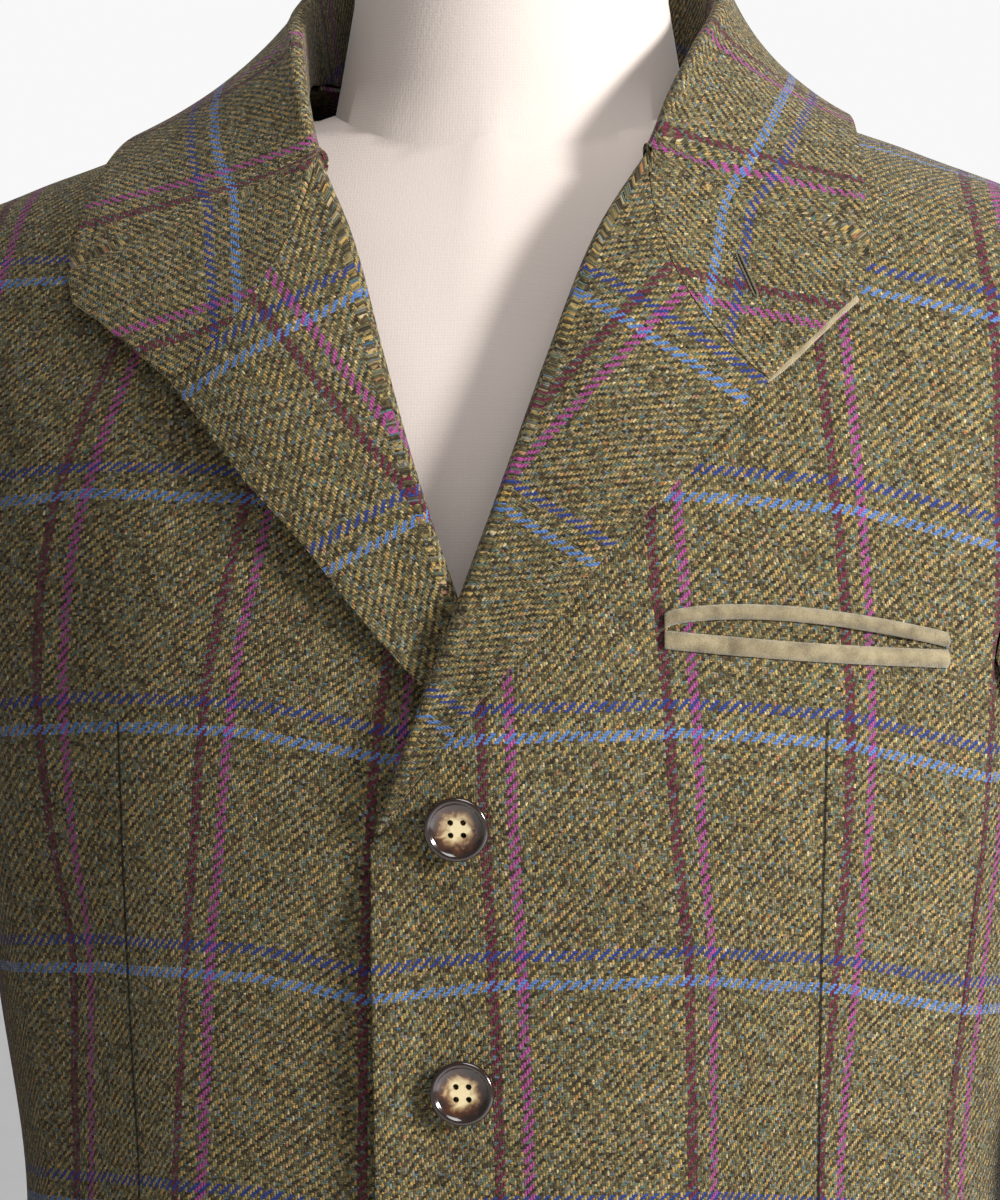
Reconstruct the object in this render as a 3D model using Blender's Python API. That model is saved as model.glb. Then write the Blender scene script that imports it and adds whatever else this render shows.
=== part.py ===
"""Tweed hacking jacket on a limbless dress form.

Metres, +Z up.  +X is the wearer's left and the jacket faces -Y.  The origin is on
the floor under the middle of the stand.  The jacket is single breasted with three
buttons, the wearer's left front over the right, and a collar and lapels that meet in
one straight seam with no notch.  Every cloth piece is a closed wall worked out from
the trunk's own surface, so neighbours share their edges with a small gap at the seam.
"""

import math
from collections import namedtuple

import bmesh
import bpy
from mathutils import Vector
from mathutils.bvhtree import BVHTree

# ---------------------------------------------------------------- driving sizes
CLOTH = 0.0020              # thickness of the tweed
SEAM_GAP = 0.0003           # air between neighbours at a seam
HEM_Z = 0.735               # height of the hem above the floor
CHEST_Z = 1.300             # the trunk starts to close over the shoulders here
NECK_SIDE_X = 0.073         # where the shoulder seam meets the neckline
NECK_SIDE_Z = 1.487
SHOULDER_X = 0.228          # where the shoulder seam meets the sleeve
SHOULDER_SLOPE = 0.364      # drop of the shoulder line for each metre outwards
SHOULDER_Y = 0.006          # depth at which the shoulder seam runs
ROUND = 0.87                # exponent of the rounded trunk sections, 1 is an ellipse
SEAM_SHARE = 0.90           # front and back end at this share of the half width
FRONT_EDGE_X = 0.032        # how far each front runs past the middle
BREAK_Z = 1.205             # the lapel starts to turn here
LAPEL_START = 0.004         # of the lapel's lowest row above the break
GORGE_Z = 1.449             # the lapel's fold passes into the collar's here
HEM_CORNER = 0.075          # radius of the rounded front corner at the hem
VENT_TOP_Z = 0.975
VENT_LAP = 0.035
VENT_SINK = 0.0012
NECK_DROP = 0.30            # turn of the cap, of 1, at the middle of the back neckline

TrunkRow = namedtuple("TrunkRow", "z half_width front_depth back_depth")
TRUNK = (
    TrunkRow(0.735, 0.238, 0.144, 0.142),
    TrunkRow(0.820, 0.222, 0.137, 0.137),
    TrunkRow(0.910, 0.204, 0.130, 0.124),
    TrunkRow(1.000, 0.188, 0.124, 0.102),
    TrunkRow(1.070, 0.183, 0.122, 0.092),
    TrunkRow(1.150, 0.194, 0.130, 0.098),
    TrunkRow(1.220, 0.203, 0.137, 0.110),
    TrunkRow(1.300, 0.209, 0.137, 0.121),
    TrunkRow(1.360, 0.225, 0.131, 0.124),
    TrunkRow(1.430, 0.262, 0.121, 0.122),
    TrunkRow(1.520, 0.300, 0.112, 0.118),
)

EdgePoint = namedtuple("EdgePoint", "z x")
# Turned edge of the front: down the lapel's fold from the neck to the break.
ROLL = (
    EdgePoint(BREAK_Z, -FRONT_EDGE_X),
    EdgePoint(1.245, -0.0165),
    EdgePoint(1.289, 0.0000),
    EdgePoint(1.335, 0.0165),
    EdgePoint(1.380, 0.0310),
    EdgePoint(1.420, 0.0440),
    EdgePoint(1.449, 0.0575),
    EdgePoint(NECK_SIDE_Z, NECK_SIDE_X),
)
# Free edge of the lapel, from the break up to the end of the gorge seam.
LAPEL_EDGE = (
    EdgePoint(1.2085, -0.0290),
    EdgePoint(1.2480, 0.0020),
    EdgePoint(1.2838, 0.0335),
    EdgePoint(1.3123, 0.0565),
    EdgePoint(1.3327, 0.0764),
    EdgePoint(1.3560, 0.0960),
    EdgePoint(1.3690, 0.1070),
)
GORGE_BEND = EdgePoint(1.400, 0.0635)     # pulls the gorge seam into its curve
COLLAR_CORNER = EdgePoint(1.400, 0.1425)

ArmholeRow = namedtuple("ArmholeRow", "turn front_x back_x")
# Armhole edge of front and back over the cap: turn 0 at CHEST_Z, 1 at the shoulder.
ARMHOLE = (
    ArmholeRow(0.00, 0.1905, 0.1905),
    ArmholeRow(0.25, 0.1925, 0.1925),
    ArmholeRow(0.50, 0.1985, 0.1995),
    ArmholeRow(0.72, 0.2105, 0.2120),
    ArmholeRow(0.88, 0.2235, 0.2245),
    ArmholeRow(1.00, SHOULDER_X, SHOULDER_X),
    ArmholeRow(1.12, 0.2235, 0.2245),
)
ARMHOLE_FRONT_Z = 1.270     # the side panel ends here at the front seam
ARMHOLE_BACK_Z = 1.285
UNDERARM_Z = 1.250

SleeveRow = namedtuple("SleeveRow", "z x y half_width half_depth")
SLEEVE = (
    SleeveRow(1.215, 0.2600, 0.006, 0.0510, 0.0715),
    SleeveRow(1.120, 0.2640, 0.004, 0.0510, 0.0670),
    SleeveRow(1.030, 0.2720, -0.004, 0.0500, 0.0620),
    SleeveRow(0.930, 0.2800, -0.022, 0.0475, 0.0560),
    SleeveRow(0.825, 0.2900, -0.046, 0.0450, 0.0500),
)

CollarRow = namedtuple("CollarRow", "share fold_x fold_y fold_z edge_x edge_y edge_z")
# Half of the collar from the middle of the back, share 0, to the gorge, share 1.
# The row before share 0 only levels the curve there.
COLLAR = (
    CollarRow(-0.22, -0.0430, 0.0620, 1.5380, -0.0560, 0.0800, 1.4580),
    CollarRow(0.00, 0.0000, 0.0700, 1.5410, 0.0000, 0.0920, 1.4550),
    CollarRow(0.22, 0.0430, 0.0620, 1.5380, 0.0560, 0.0800, 1.4580),
    CollarRow(0.42, 0.0720, 0.0370, 1.5300, 0.0990, 0.0580, 1.4630),
    CollarRow(0.58, 0.0800, -0.0060, 1.5160, 0.1260, 0.0060, 1.4680),
    CollarRow(0.72, 0.0750, -0.0480, 1.4960, 0.1350, -0.0350, 1.4490),
    CollarRow(0.86, 0.0670, -0.0750, 1.4730, 0.1400, -0.0600, 1.4230),
    CollarRow(1.00, 0.0575, -0.0830, 1.4510, 0.1425, -0.0740, 1.4000),
)
COLLAR_NECK_SHARE = 0.58    # the collar's seam passes the shoulder seam here
COLLAR_SHIFT = -0.006       # the worn collar sits a little to the wearer's right
TURN_RADIUS = 0.0026        # of the cloth at the collar's and lapel's fold
LAP_LIFT = 0.0027            # of the left front over the right one
LAP_FADE = (0.045, 0.095)
CROSSING_AT = (0.003, 1.250)
CROSSING_REACH = (0.052, 0.049)
CROSSING_LIFT = 0.0058
LEAF_LIFT = 0.0058          # outer face of the collar's leaf over the trunk
LEAF_START = 0.0014         # of the lapel's free edge at the break
MELTON = 0.0012             # thickness of the undercollar
MELTON_SHOWS = 0.0016       # it stands out past the collar's left end by this much

BUTTON_Z = (1.2116, 1.1165, 1.0214)
BUTTON_RADIUS = 0.01175
BUTTON_HOLE_RADIUS = 0.0011
BUTTON_HOLE_OFFSET = 0.0024
BUTTON_SHANK = 0.0007               # the thread holds the button this far off the cloth

POCKET_X = (0.0725, 0.1690)         # ends of the breast pocket
POCKET_Z = (1.2815, 1.2745)         # its middle line at those ends
POCKET_GAPE = 0.0065                # the slit stands open by this much in the middle
LIP_SAG = 0.0008
WELT = 0.0058                       # height of each welt
WELT_LOWER = 0.0070
WELT_THICK = 0.0020
WELT_CLEAR = 0.0006                 # air under each welt

FLAP_X = (0.070, 0.176)             # ends of the slanted hip flap
FLAP_Z = (0.968, 0.928)
FLAP_DROP = 0.055
FLAP_CLEAR = 0.0007                 # air under the flap

FORM_BOTTOM_Z = 0.800
FORM_CLEAR = 0.012
FORM_SEAT = 0.0008                  # air between the form's shoulders and the cloth
FORM_ROUND = 0.012                  # its lower edge is rounded in by this much
NECK_TOP_Z = 1.610
POLE_RADIUS = 0.016
BASE_RADIUS = 0.175
BASE_THICK = 0.022

# ---------------------------------------------------------------- materials
Finish = namedtuple("Finish", "colour roughness metallic")
FINISHES = {
    "tweed": Finish((0.150, 0.125, 0.062), 0.92, 0.0),
    "moleskin": Finish((0.430, 0.340, 0.210), 0.90, 0.0),
    "melton": Finish((0.400, 0.320, 0.200), 0.95, 0.0),
    "horn": Finish((0.090, 0.040, 0.018), 0.22, 0.0),
    "form_cloth": Finish((0.800, 0.740, 0.680), 0.85, 0.0),
    "stand_wood": Finish((0.120, 0.060, 0.030), 0.45, 0.0),
}


def clear_scene():
    """Remove every object, so that the script starts from nothing."""
    for thing in list(bpy.data.objects):
        bpy.data.objects.remove(thing, do_unlink=True)


def finish(name):
    """Return the named material, made once."""
    known = bpy.data.materials.get(name)
    if known:
        return known
    look = FINISHES[name]
    material = bpy.data.materials.new(name)
    material.use_nodes = True
    shader = material.node_tree.nodes["Principled BSDF"]
    shader.inputs["Base Color"].default_value = (*look.colour, 1.0)
    shader.inputs["Roughness"].default_value = look.roughness
    shader.inputs["Metallic"].default_value = look.metallic
    return material


# ---------------------------------------------------------------- small mathematics
def spline(table, at, key=0):
    """Read a smooth curve through the rows of a table, by its column number key."""
    keys = [row[key] for row in table]
    at = min(max(at, keys[0]), keys[-1])
    last = max(i for i in range(len(keys) - 1) if keys[i] <= at)
    step = keys[last + 1] - keys[last]
    t = (at - keys[last]) / step

    def slope(i, column):
        low, high = max(i - 1, 0), min(i + 1, len(keys) - 1)
        return (table[high][column] - table[low][column]) / (keys[high] - keys[low])

    result = []
    for column in range(len(table[0])):
        a, b = table[last][column], table[last + 1][column]
        m0, m1 = slope(last, column) * step, slope(last + 1, column) * step
        result.append(
            (2 * t**3 - 3 * t**2 + 1) * a + (t**3 - 2 * t**2 + t) * m0
            + (3 * t**2 - 2 * t**3) * b + (t**3 - t**2) * m1
        )
    return type(table[0])(*result)


def smooth(low, high, value):
    """Rise smoothly from 0 at low to 1 at high."""
    t = min(max((value - low) / (high - low), 0.0), 1.0)
    return t * t * (3 - 2 * t)


def mix(a, b, t):
    """Blend two numbers or vectors."""
    return a * (1 - t) + b * t


def power(value, exponent):
    """Raise a number to a power and keep its sign."""
    return math.copysign(abs(value) ** exponent, value)


def even(count):
    """Return count + 1 even shares from 0 to 1."""
    return [i / count for i in range(count + 1)]


# ---------------------------------------------------------------- the trunk's surface
def shoulder_z(x):
    """Height of the shoulder line at a distance from the middle."""
    return NECK_SIDE_Z - SHOULDER_SLOPE * (abs(x) - NECK_SIDE_X)


def ring_y(x, z, back):
    """Depth of the rounded trunk section at x, in front or behind."""
    row = spline(TRUNK, z)
    share = min(abs(x) / row.half_width, 1.0)
    depth = row.back_depth if back else -row.front_depth
    return depth * (1 - share ** (2 / ROUND)) ** (ROUND / 2)


def cap_point(x, turn, back):
    """Point of the cap over the chest: turn 0 at CHEST_Z, 1 on the shoulder seam."""
    angle = (1 - turn) * math.pi / 2
    height = shoulder_z(x) - CHEST_Z
    z = CHEST_Z + height * power(math.cos(angle), ROUND)
    y = mix(SHOULDER_Y, ring_y(x, z, back), power(math.sin(angle), ROUND))
    return Vector((x, y, z))


def turn_at(x, z):
    """Turn of the cap at which the surface has the height z."""
    share = min(max((z - CHEST_Z) / (shoulder_z(x) - CHEST_Z), 0.0), 1.0)
    return 1 - math.acos(share ** (1 / ROUND)) / (math.pi / 2)


def trunk_point(x, level, back):
    """Point of the trunk: level up to CHEST_Z is a height, CHEST_Z + turn above it."""
    if level <= CHEST_Z:
        return Vector((x, ring_y(x, level, back), level))
    return cap_point(x, level - CHEST_Z, back)


def level_at(x, z):
    """Level of the trunk's surface at the height z."""
    return z if z <= CHEST_Z else CHEST_Z + turn_at(x, z)


def trunk_normal(x, level, back):
    """Outward direction of the trunk's surface."""
    dx, dl = 0.002, 0.004
    if level <= CHEST_Z < level + dl:
        level = CHEST_Z - dl
    along_x = trunk_point(x + dx, level, back) - trunk_point(x - dx, level, back)
    along_z = trunk_point(x, level + dl, back) - trunk_point(x, level - dl, back)
    normal = along_x.cross(along_z).normalized()
    return -normal if back else normal


def trunk(x, level, back, lift=0.0):
    """Point on the trunk's surface, moved out by lift."""
    return trunk_point(x, level, back) + trunk_normal(x, level, back) * lift


def side_point(share, z, lift=0.0):
    """Point round the wearer's left side: share 0 at the front seam, 1 at the back."""
    row = spline(TRUNK, z)
    edge = math.acos(SEAM_SHARE ** (1 / ROUND))

    def at(turn, height):
        here = spline(TRUNK, height)
        depth = here.back_depth if turn > 0 else here.front_depth
        return Vector((
            here.half_width * power(math.cos(turn), ROUND),
            depth * power(math.sin(turn), ROUND),
            height,
        ))

    turn = mix(-edge, edge, share)
    around = at(turn + 0.01, z) - at(turn - 0.01, z)
    upward = at(turn, z + 0.003) - at(turn, z - 0.003)
    return at(turn, z) + around.cross(upward).normalized() * lift


# ---------------------------------------------------------------- meshes
def add_object(name, bm, material):
    """Link a finished bmesh to the scene as a named object."""
    mesh = bpy.data.meshes.new(name)
    bm.to_mesh(mesh)
    bm.free()
    thing = bpy.data.objects.new(name, mesh)
    bpy.context.collection.objects.link(thing)
    mesh.materials.append(finish(material))
    mesh.shade_smooth()
    mesh.set_sharp_from_angle(angle=math.radians(50))
    return thing


def grid_normals(rows):
    """Outward directions of a grid of points, from its neighbours."""
    last_i, last_j = len(rows) - 1, len(rows[0]) - 1
    normals = []
    for i, row in enumerate(rows):
        line = []
        for j in range(len(row)):
            across = rows[i][min(j + 1, last_j)] - rows[i][max(j - 1, 0)]
            along = rows[min(i + 1, last_i)][j] - rows[max(i - 1, 0)][j]
            line.append(across.cross(along).normalized())
        normals.append(line)
    return normals


def wall(name, outer, inner, material):
    """Make a closed wall between two grids of points with the same layout."""
    bm = bmesh.new()
    faces = []
    sheets = []
    for grid in (outer, inner):
        sheets.append([[bm.verts.new(point) for point in row] for row in grid])
    top, bottom = sheets
    last_i, last_j = len(outer) - 1, len(outer[0]) - 1
    for i in range(last_i):
        for j in range(last_j):
            faces.append((top[i][j], top[i][j + 1], top[i + 1][j + 1], top[i + 1][j]))
            faces.append((bottom[i][j], bottom[i + 1][j], bottom[i + 1][j + 1], bottom[i][j + 1]))
    for i in range(last_i):
        faces.append((top[i][0], top[i + 1][0], bottom[i + 1][0], bottom[i][0]))
        faces.append((top[i][last_j], bottom[i][last_j], bottom[i + 1][last_j], top[i + 1][last_j]))
    for j in range(last_j):
        faces.append((top[0][j], bottom[0][j], bottom[0][j + 1], top[0][j + 1]))
        faces.append((top[last_i][j], top[last_i][j + 1], bottom[last_i][j + 1], bottom[last_i][j]))
    for corners in faces:
        bm.faces.new(corners)
    bmesh.ops.recalc_face_normals(bm, faces=bm.faces)
    return add_object(name, bm, material)


def mirrored(grid):
    """Copy a grid to the other side of the body, with its outside kept outside."""
    return [[Vector((-p.x, p.y, p.z)) for p in reversed(row)] for row in grid]


# ---------------------------------------------------------------- fronts
SHOULDER_CUT = 0.0010       # turn of the cap left free on each side of the shoulder seam
LOWER_LEVELS = (
    0.735, 0.765, 0.81, 0.87, 0.93, 0.99, 1.05, 1.11, 1.16, BREAK_Z, BREAK_Z + 0.0035, 1.225, 1.245,
    ARMHOLE_FRONT_Z, ARMHOLE_BACK_Z, CHEST_Z,
)
CAP_TURNS = (0.12, 0.26, 0.40, 0.54, 0.67, 0.79, 0.90, 1.0)
NECK_CLEAR = 0.0016         # room for the collar's stand at the neckline
FRONT_SHARES = (0.0, 0.03, 0.08, 0.15, 0.24, 0.34, 0.45, 0.56, 0.68, 0.79, 0.90, 1.0)


def roll_x(z):
    """Distance of the front's turned edge from the middle."""
    return spline(ROLL, z).x if z > BREAK_Z else -FRONT_EDGE_X


def armhole_x(level, back):
    """Outer edge of front or back: the side seam below, the armhole above."""
    start = ARMHOLE_BACK_Z if back else ARMHOLE_FRONT_Z
    seam = SEAM_SHARE * spline(TRUNK, min(level, start)).half_width
    if level <= start:
        return seam
    turn = max(level - CHEST_Z, 0.0)
    row = spline(ARMHOLE, turn)
    edge = row.back_x if back else row.front_x
    return mix(seam, edge, smooth(start - 0.001, CHEST_Z, min(level, CHEST_Z)))


def overlap_lift(x, z):
    """Height of the left front over the trunk where it crosses the right one."""
    lap = LAP_LIFT * (1 - smooth(*LAP_FADE, x))
    across = (x - CROSSING_AT[0]) / CROSSING_REACH[0]
    upward = (z - CROSSING_AT[1]) / CROSSING_REACH[1]
    crossing = CROSSING_LIFT * math.exp(-(across**2 + upward**2) ** 1.5)
    return lap + crossing


def front_lift(x, z, left):
    """Height of a front over the trunk."""
    return overlap_lift(x, z) if left else 0.0


def front_inner_x(level):
    """Inner edge of a front on a row of its grid, short of the fold of lapel or collar."""
    if level <= BREAK_Z:
        return roll_x(level)
    if level <= CHEST_Z:
        return roll_x(level) + TURN_RADIUS
    x = 0.03
    for _ in range(12):
        x = roll_x(cap_point(x, level - CHEST_Z, False).z)
    z = cap_point(x, level - CHEST_Z, False).z
    return x + TURN_RADIUS + NECK_CLEAR * smooth(GORGE_Z - 0.02, GORGE_Z, z)


def front_grid(left, under=0.0):
    """Grid of a front on the wearer's left, from the hem up to the shoulder seam."""
    rows = []
    levels = LOWER_LEVELS + tuple(CHEST_Z + turn for turn in CAP_TURNS)
    for level in levels:
        inner = front_inner_x(level)
        outer = armhole_x(level, False) - SEAM_GAP / 2
        row = []
        for share in FRONT_SHARES:
            x = mix(inner, outer, share)
            here = level
            if level < VENT_TOP_Z:
                reach = max(HEM_CORNER - (x + FRONT_EDGE_X), 0.0)
                rise = HEM_CORNER - math.sqrt(HEM_CORNER**2 - reach**2)
                here = level + rise * (VENT_TOP_Z - level) / (VENT_TOP_Z - HEM_Z)
            seam_cut = SHOULDER_CUT if level == levels[-1] else 0.0
            point = trunk(x, here - seam_cut, False)
            lift = front_lift(x, point.z, left) - under
            row.append(trunk(x, here - seam_cut, False, lift))
        rows.append(row)
    return rows


def build_fronts():
    """Left front over right front."""
    for left in (True, False):
        outer, inner = front_grid(left), front_grid(left, CLOTH)
        if left:
            wall("front_left", outer, inner, "tweed")
        else:
            wall("front_right", mirrored(outer), mirrored(inner), "tweed")


# ---------------------------------------------------------------- sides and backs
SIDE_INSET = 0.0050         # share of the panel left free along each of its seams


def build_sides():
    """Panel under each arm, from hem to armhole."""
    for sign, name in ((1, "side_left"), (-1, "side_right")):
        grids = []
        for under in (0.0, CLOTH):
            rows = []
            for rise in even(13):
                row = []
                for share in even(6):
                    ends = mix(ARMHOLE_FRONT_Z, ARMHOLE_BACK_Z, share)
                    top = ends - (ends - UNDERARM_Z) * math.sin(math.pi * share) ** 0.8
                    z = mix(HEM_Z, top, rise)
                    inset = mix(SIDE_INSET, 1 - SIDE_INSET, share)
                    row.append(side_point(inset, z, -under))
                rows.append(row)
            grids.append(rows)
        if sign < 0:
            grids = [mirrored(rows) for rows in grids]
        wall(name, *grids, "tweed")


BACK_SHARES = (0.0, 0.06, 0.14, 0.26, 0.38, 0.50, 0.62, 0.74, 0.87, 1.0)


def back_grid(left, under=0.0):
    """Grid of a back on the wearer's left, with the underlap of the vent on the right."""
    rows = []
    for level in LOWER_LEVELS + tuple(CHEST_Z + turn for turn in CAP_TURNS):
        outer = armhole_x(level, True) - SEAM_GAP / 2
        vent = 0.0 if left else 1 - smooth(VENT_TOP_Z - 0.03, VENT_TOP_Z, level)
        tuck = 0.0 if left else 1 - smooth(VENT_TOP_Z + 0.02, VENT_TOP_Z + 0.07, level)
        inner = SEAM_GAP / 2 - VENT_LAP * vent
        row = []
        for share in BACK_SHARES:
            x = mix(inner, outer, share)
            here = level
            if level > CHEST_Z:
                drop = NECK_DROP * max(1 - (x / NECK_SIDE_X) ** 2, 0.0) ** 0.5
                here = CHEST_Z + (level - CHEST_Z) * (1 - drop)
            if level == CHEST_Z + 1.0:
                here -= SHOULDER_CUT
            sink = (CLOTH + VENT_SINK) * tuck * (1 - smooth(0.012, 0.032, x))
            row.append(trunk(x, here, True, -under - sink))
        rows.append(list(reversed(row)))
    return rows


def build_backs():
    """Two backs with a seam down the middle and one vent."""
    wall("back_left", back_grid(True), back_grid(True, CLOTH), "tweed")
    wall("back_right", mirrored(back_grid(False)), mirrored(back_grid(False, CLOTH)), "tweed")


# ---------------------------------------------------------------- sleeves
SLEEVE_SIDES = 28
SLEEVE_CLEAR = 0.0040       # the sleeve starts this far past the armhole's edge
SLEEVE_SEAMS = (9, 19)      # the under sleeve runs between these points of a ring
SLEEVE_SEAM_CUT = 0.0003    # taken off each piece along its seams


def armhole_loop():
    """Points round the wearer's left armhole, from the shoulder forwards and round."""
    path = []
    for turn in reversed(even(10)):
        level = CHEST_Z + turn
        path.append(trunk(armhole_x(level, False), level, False, -CLOTH / 2))
    for level in (CHEST_Z - 0.010, CHEST_Z - 0.020):
        path.append(trunk(armhole_x(level, False), level, False, -CLOTH / 2))
    for share in even(12):
        ends = mix(ARMHOLE_FRONT_Z, ARMHOLE_BACK_Z, share)
        z = ends - (ends - UNDERARM_Z) * math.sin(math.pi * share) ** 0.8
        path.append(side_point(share, z, -CLOTH / 2))
    for turn in even(10):
        level = CHEST_Z + turn
        path.append(trunk(armhole_x(level, True), level, True, -CLOTH / 2))
    lengths = [0.0]
    for a, b in zip(path, path[1:]):
        lengths.append(lengths[-1] + (b - a).length)
    loop = []
    for i in range(SLEEVE_SIDES):
        target = lengths[-1] * i / SLEEVE_SIDES
        k = max(n for n in range(len(path) - 1) if lengths[n] <= target)
        share = (target - lengths[k]) / (lengths[k + 1] - lengths[k])
        loop.append(mix(path[k], path[k + 1], share))
    return loop


def sleeve_ring(z):
    """Oval section of the sleeve, from the outside forwards and round."""
    row = spline(tuple(reversed(SLEEVE)), z)
    lean = spline(tuple(reversed(SLEEVE)), max(z - 0.01, SLEEVE[-1].z))
    axis = Vector((row.x - lean.x, row.y - lean.y, 0.01)).normalized()
    ring = []
    for i in range(SLEEVE_SIDES):
        turn = 2 * math.pi * i / SLEEVE_SIDES
        dx = row.half_width * math.cos(turn)
        dy = -row.half_depth * math.sin(turn)
        dz = -(axis.x * dx + axis.y * dy) / axis.z
        ring.append(Vector((row.x + dx, row.y + dy, z + dz)))
    return ring


def sleeve_rings():
    """Rings of the wearer's left sleeve, from the armhole to the cuff."""
    loop = armhole_loop()
    upper = SLEEVE[0].z
    first, second = sleeve_ring(upper), sleeve_ring(upper - 0.004)
    outward = Vector((CLOTH, 0.0, 0.0))
    rings = []
    for t in even(7):
        ring = []
        for i in range(SLEEVE_SIDES):
            turn = 2 * math.pi * i / SLEEVE_SIDES
            leave = Vector((
                0.60 + 0.42 * math.cos(turn),
                -0.32 * math.sin(turn),
                -0.62 + 0.50 * math.cos(turn),
            )).normalized()
            arrive = (second[i] - first[i]).normalized()
            start = loop[i] + leave * SLEEVE_CLEAR + outward * max(-math.cos(turn), 0.0)
            reach = 1.05 * (first[i] - loop[i]).length
            ring.append(
                start * (2 * t**3 - 3 * t**2 + 1) + leave * reach * (t**3 - 2 * t**2 + t)
                + first[i] * (3 * t**2 - 2 * t**3) + arrive * reach * (t**3 - t**2)
            )
        rings.append(ring)
    for share in even(9)[1:]:
        rings.append(sleeve_ring(mix(upper, SLEEVE[-1].z, share)))
    return rings


def thickened(rings, lift):
    """Move closed rings out along the surface that they lie on."""
    last = len(rings) - 1
    moved = []
    for k, ring in enumerate(rings):
        above, below = rings[max(k - 1, 0)], rings[min(k + 1, last)]
        row = []
        for i, point in enumerate(ring):
            around = ring[(i + 1) % len(ring)] - ring[i - 1]
            row.append(point + around.cross(below[i] - above[i]).normalized() * lift)
        moved.append(row)
    return moved


def build_sleeves():
    """Top and under sleeve on each side, with one seam in front and one behind."""
    front, hind = SLEEVE_SEAMS
    middle = sleeve_rings()
    walls = thickened(middle, CLOTH / 2), thickened(middle, -CLOTH / 2)
    spans = {
        "sleeve_top": [i % SLEEVE_SIDES for i in range(hind, front + SLEEVE_SIDES + 1)],
        "sleeve_under": list(range(front, hind + 1)),
    }
    for name, points in spans.items():
        grids = []
        for rings in walls:
            rows = []
            for ring in reversed(rings):
                row = [ring[i].copy() for i in points]
                row[0] += (row[1] - row[0]).normalized() * SLEEVE_SEAM_CUT
                row[-1] += (row[-2] - row[-1]).normalized() * SLEEVE_SEAM_CUT
                rows.append(list(reversed(row)))
            grids.append(rows)
        wall(name + "_left", *grids, "tweed")
        wall(name + "_right", *[mirrored(rows) for rows in grids], "tweed")


# ---------------------------------------------------------------- lapels
LAPEL_SHARES = (0.0, 0.10, 0.24, 0.42, 0.60, 0.80, 1.0)


def lapel_line(rise):
    """Fold point, free edge point and bend of one line across the lapel."""
    fold_z = mix(BREAK_Z + LAPEL_START, GORGE_Z, rise)
    fold = Vector((roll_x(fold_z), fold_z))
    edge_row = spline(tuple(enumerate_rows(LAPEL_EDGE)), rise * (len(LAPEL_EDGE) - 1))
    edge = Vector((edge_row.x, edge_row.z))
    gorge = Vector((GORGE_BEND.x, GORGE_BEND.z))
    bend = mix((fold + edge) / 2, gorge, rise**4)
    return fold, bend, edge


NumberedRow = namedtuple("NumberedRow", "number z x")


def enumerate_rows(table):
    """Give each edge point its number, so that a curve can be read by it."""
    return [NumberedRow(i, row.z, row.x) for i, row in enumerate(table)]


def lapel_row(rise, left, thickness):
    """Points of the lapel across its width, as pairs on its outer and inner face."""
    fold, bend, edge = lapel_line(rise)
    radius = TURN_RADIUS * mix(0.55, 1.0, smooth(0.0, 0.5, rise))
    rows = ([], [])
    direction = (bend - fold).normalized()
    start_x = fold.x + TURN_RADIUS
    for face, half in enumerate((thickness / 2, -thickness / 2)):
        for turn in (20, 65, 110, 155):
            angle = math.radians(turn)
            out = -CLOTH / 2 + radius - (radius + half) * math.cos(angle)
            away = (radius + half) * math.sin(angle)
            x = start_x - away * direction.x
            z = fold.y - away * direction.y
            lift = front_lift(x, z, left) + out
            rows[face].append(trunk(x, level_at(x, z), False, lift))
        for share in LAPEL_SHARES[1:]:
            across = (1 - share) ** 2 * fold + 2 * share * (1 - share) * bend + share**2 * edge
            x = across.x + TURN_RADIUS * (1 - share)
            z = across.y
            roll = -CLOTH / 2 + 2 * radius
            rest = mix(LEAF_START, LEAF_LIFT - CLOTH / 2, rise**1.5)
            out = mix(roll, rest, smooth(0.0, 1.0, share)) + half
            lift = front_lift(x, z, left) + out
            rows[face].append(trunk(x, level_at(x, z), False, lift))
    return rows


def lapel_grids(left):
    """Outer and inner grid of the wearer's left lapel."""
    outer, inner = [], []
    for rise in even(14):
        row_outer, row_inner = lapel_row(rise, left, CLOTH)
        outer.append(row_outer)
        inner.append(row_inner)
    return outer, inner


def build_lapels():
    """Lapels turned out over the fronts."""
    outer, inner = lapel_grids(True)
    wall("lapel_left", outer, inner, "tweed")
    outer, inner = lapel_grids(False)
    wall("lapel_right", mirrored(outer), mirrored(inner), "tweed")


# ---------------------------------------------------------------- collar
LEAF_SHARES = (0.12, 0.28, 0.46, 0.65, 0.83, 1.0)
GORGE_POINTS = 4            # leaf points that lie on the gorge seam at the collar's end
FOLD_TURNS = (20, 65, 110, 155)
GORGE_GAP = 0.0023          # air between the collar's end and the lapel
FAN_ROWS = 3                # rows that fan out from the last ring to the gorge seam
COLLAR_RINGS = (0.0, 0.11, 0.22, 0.32, 0.42, 0.50, 0.58, 0.66, 0.74, 0.81, 0.87, 0.92, 0.96, 1.0)


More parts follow.
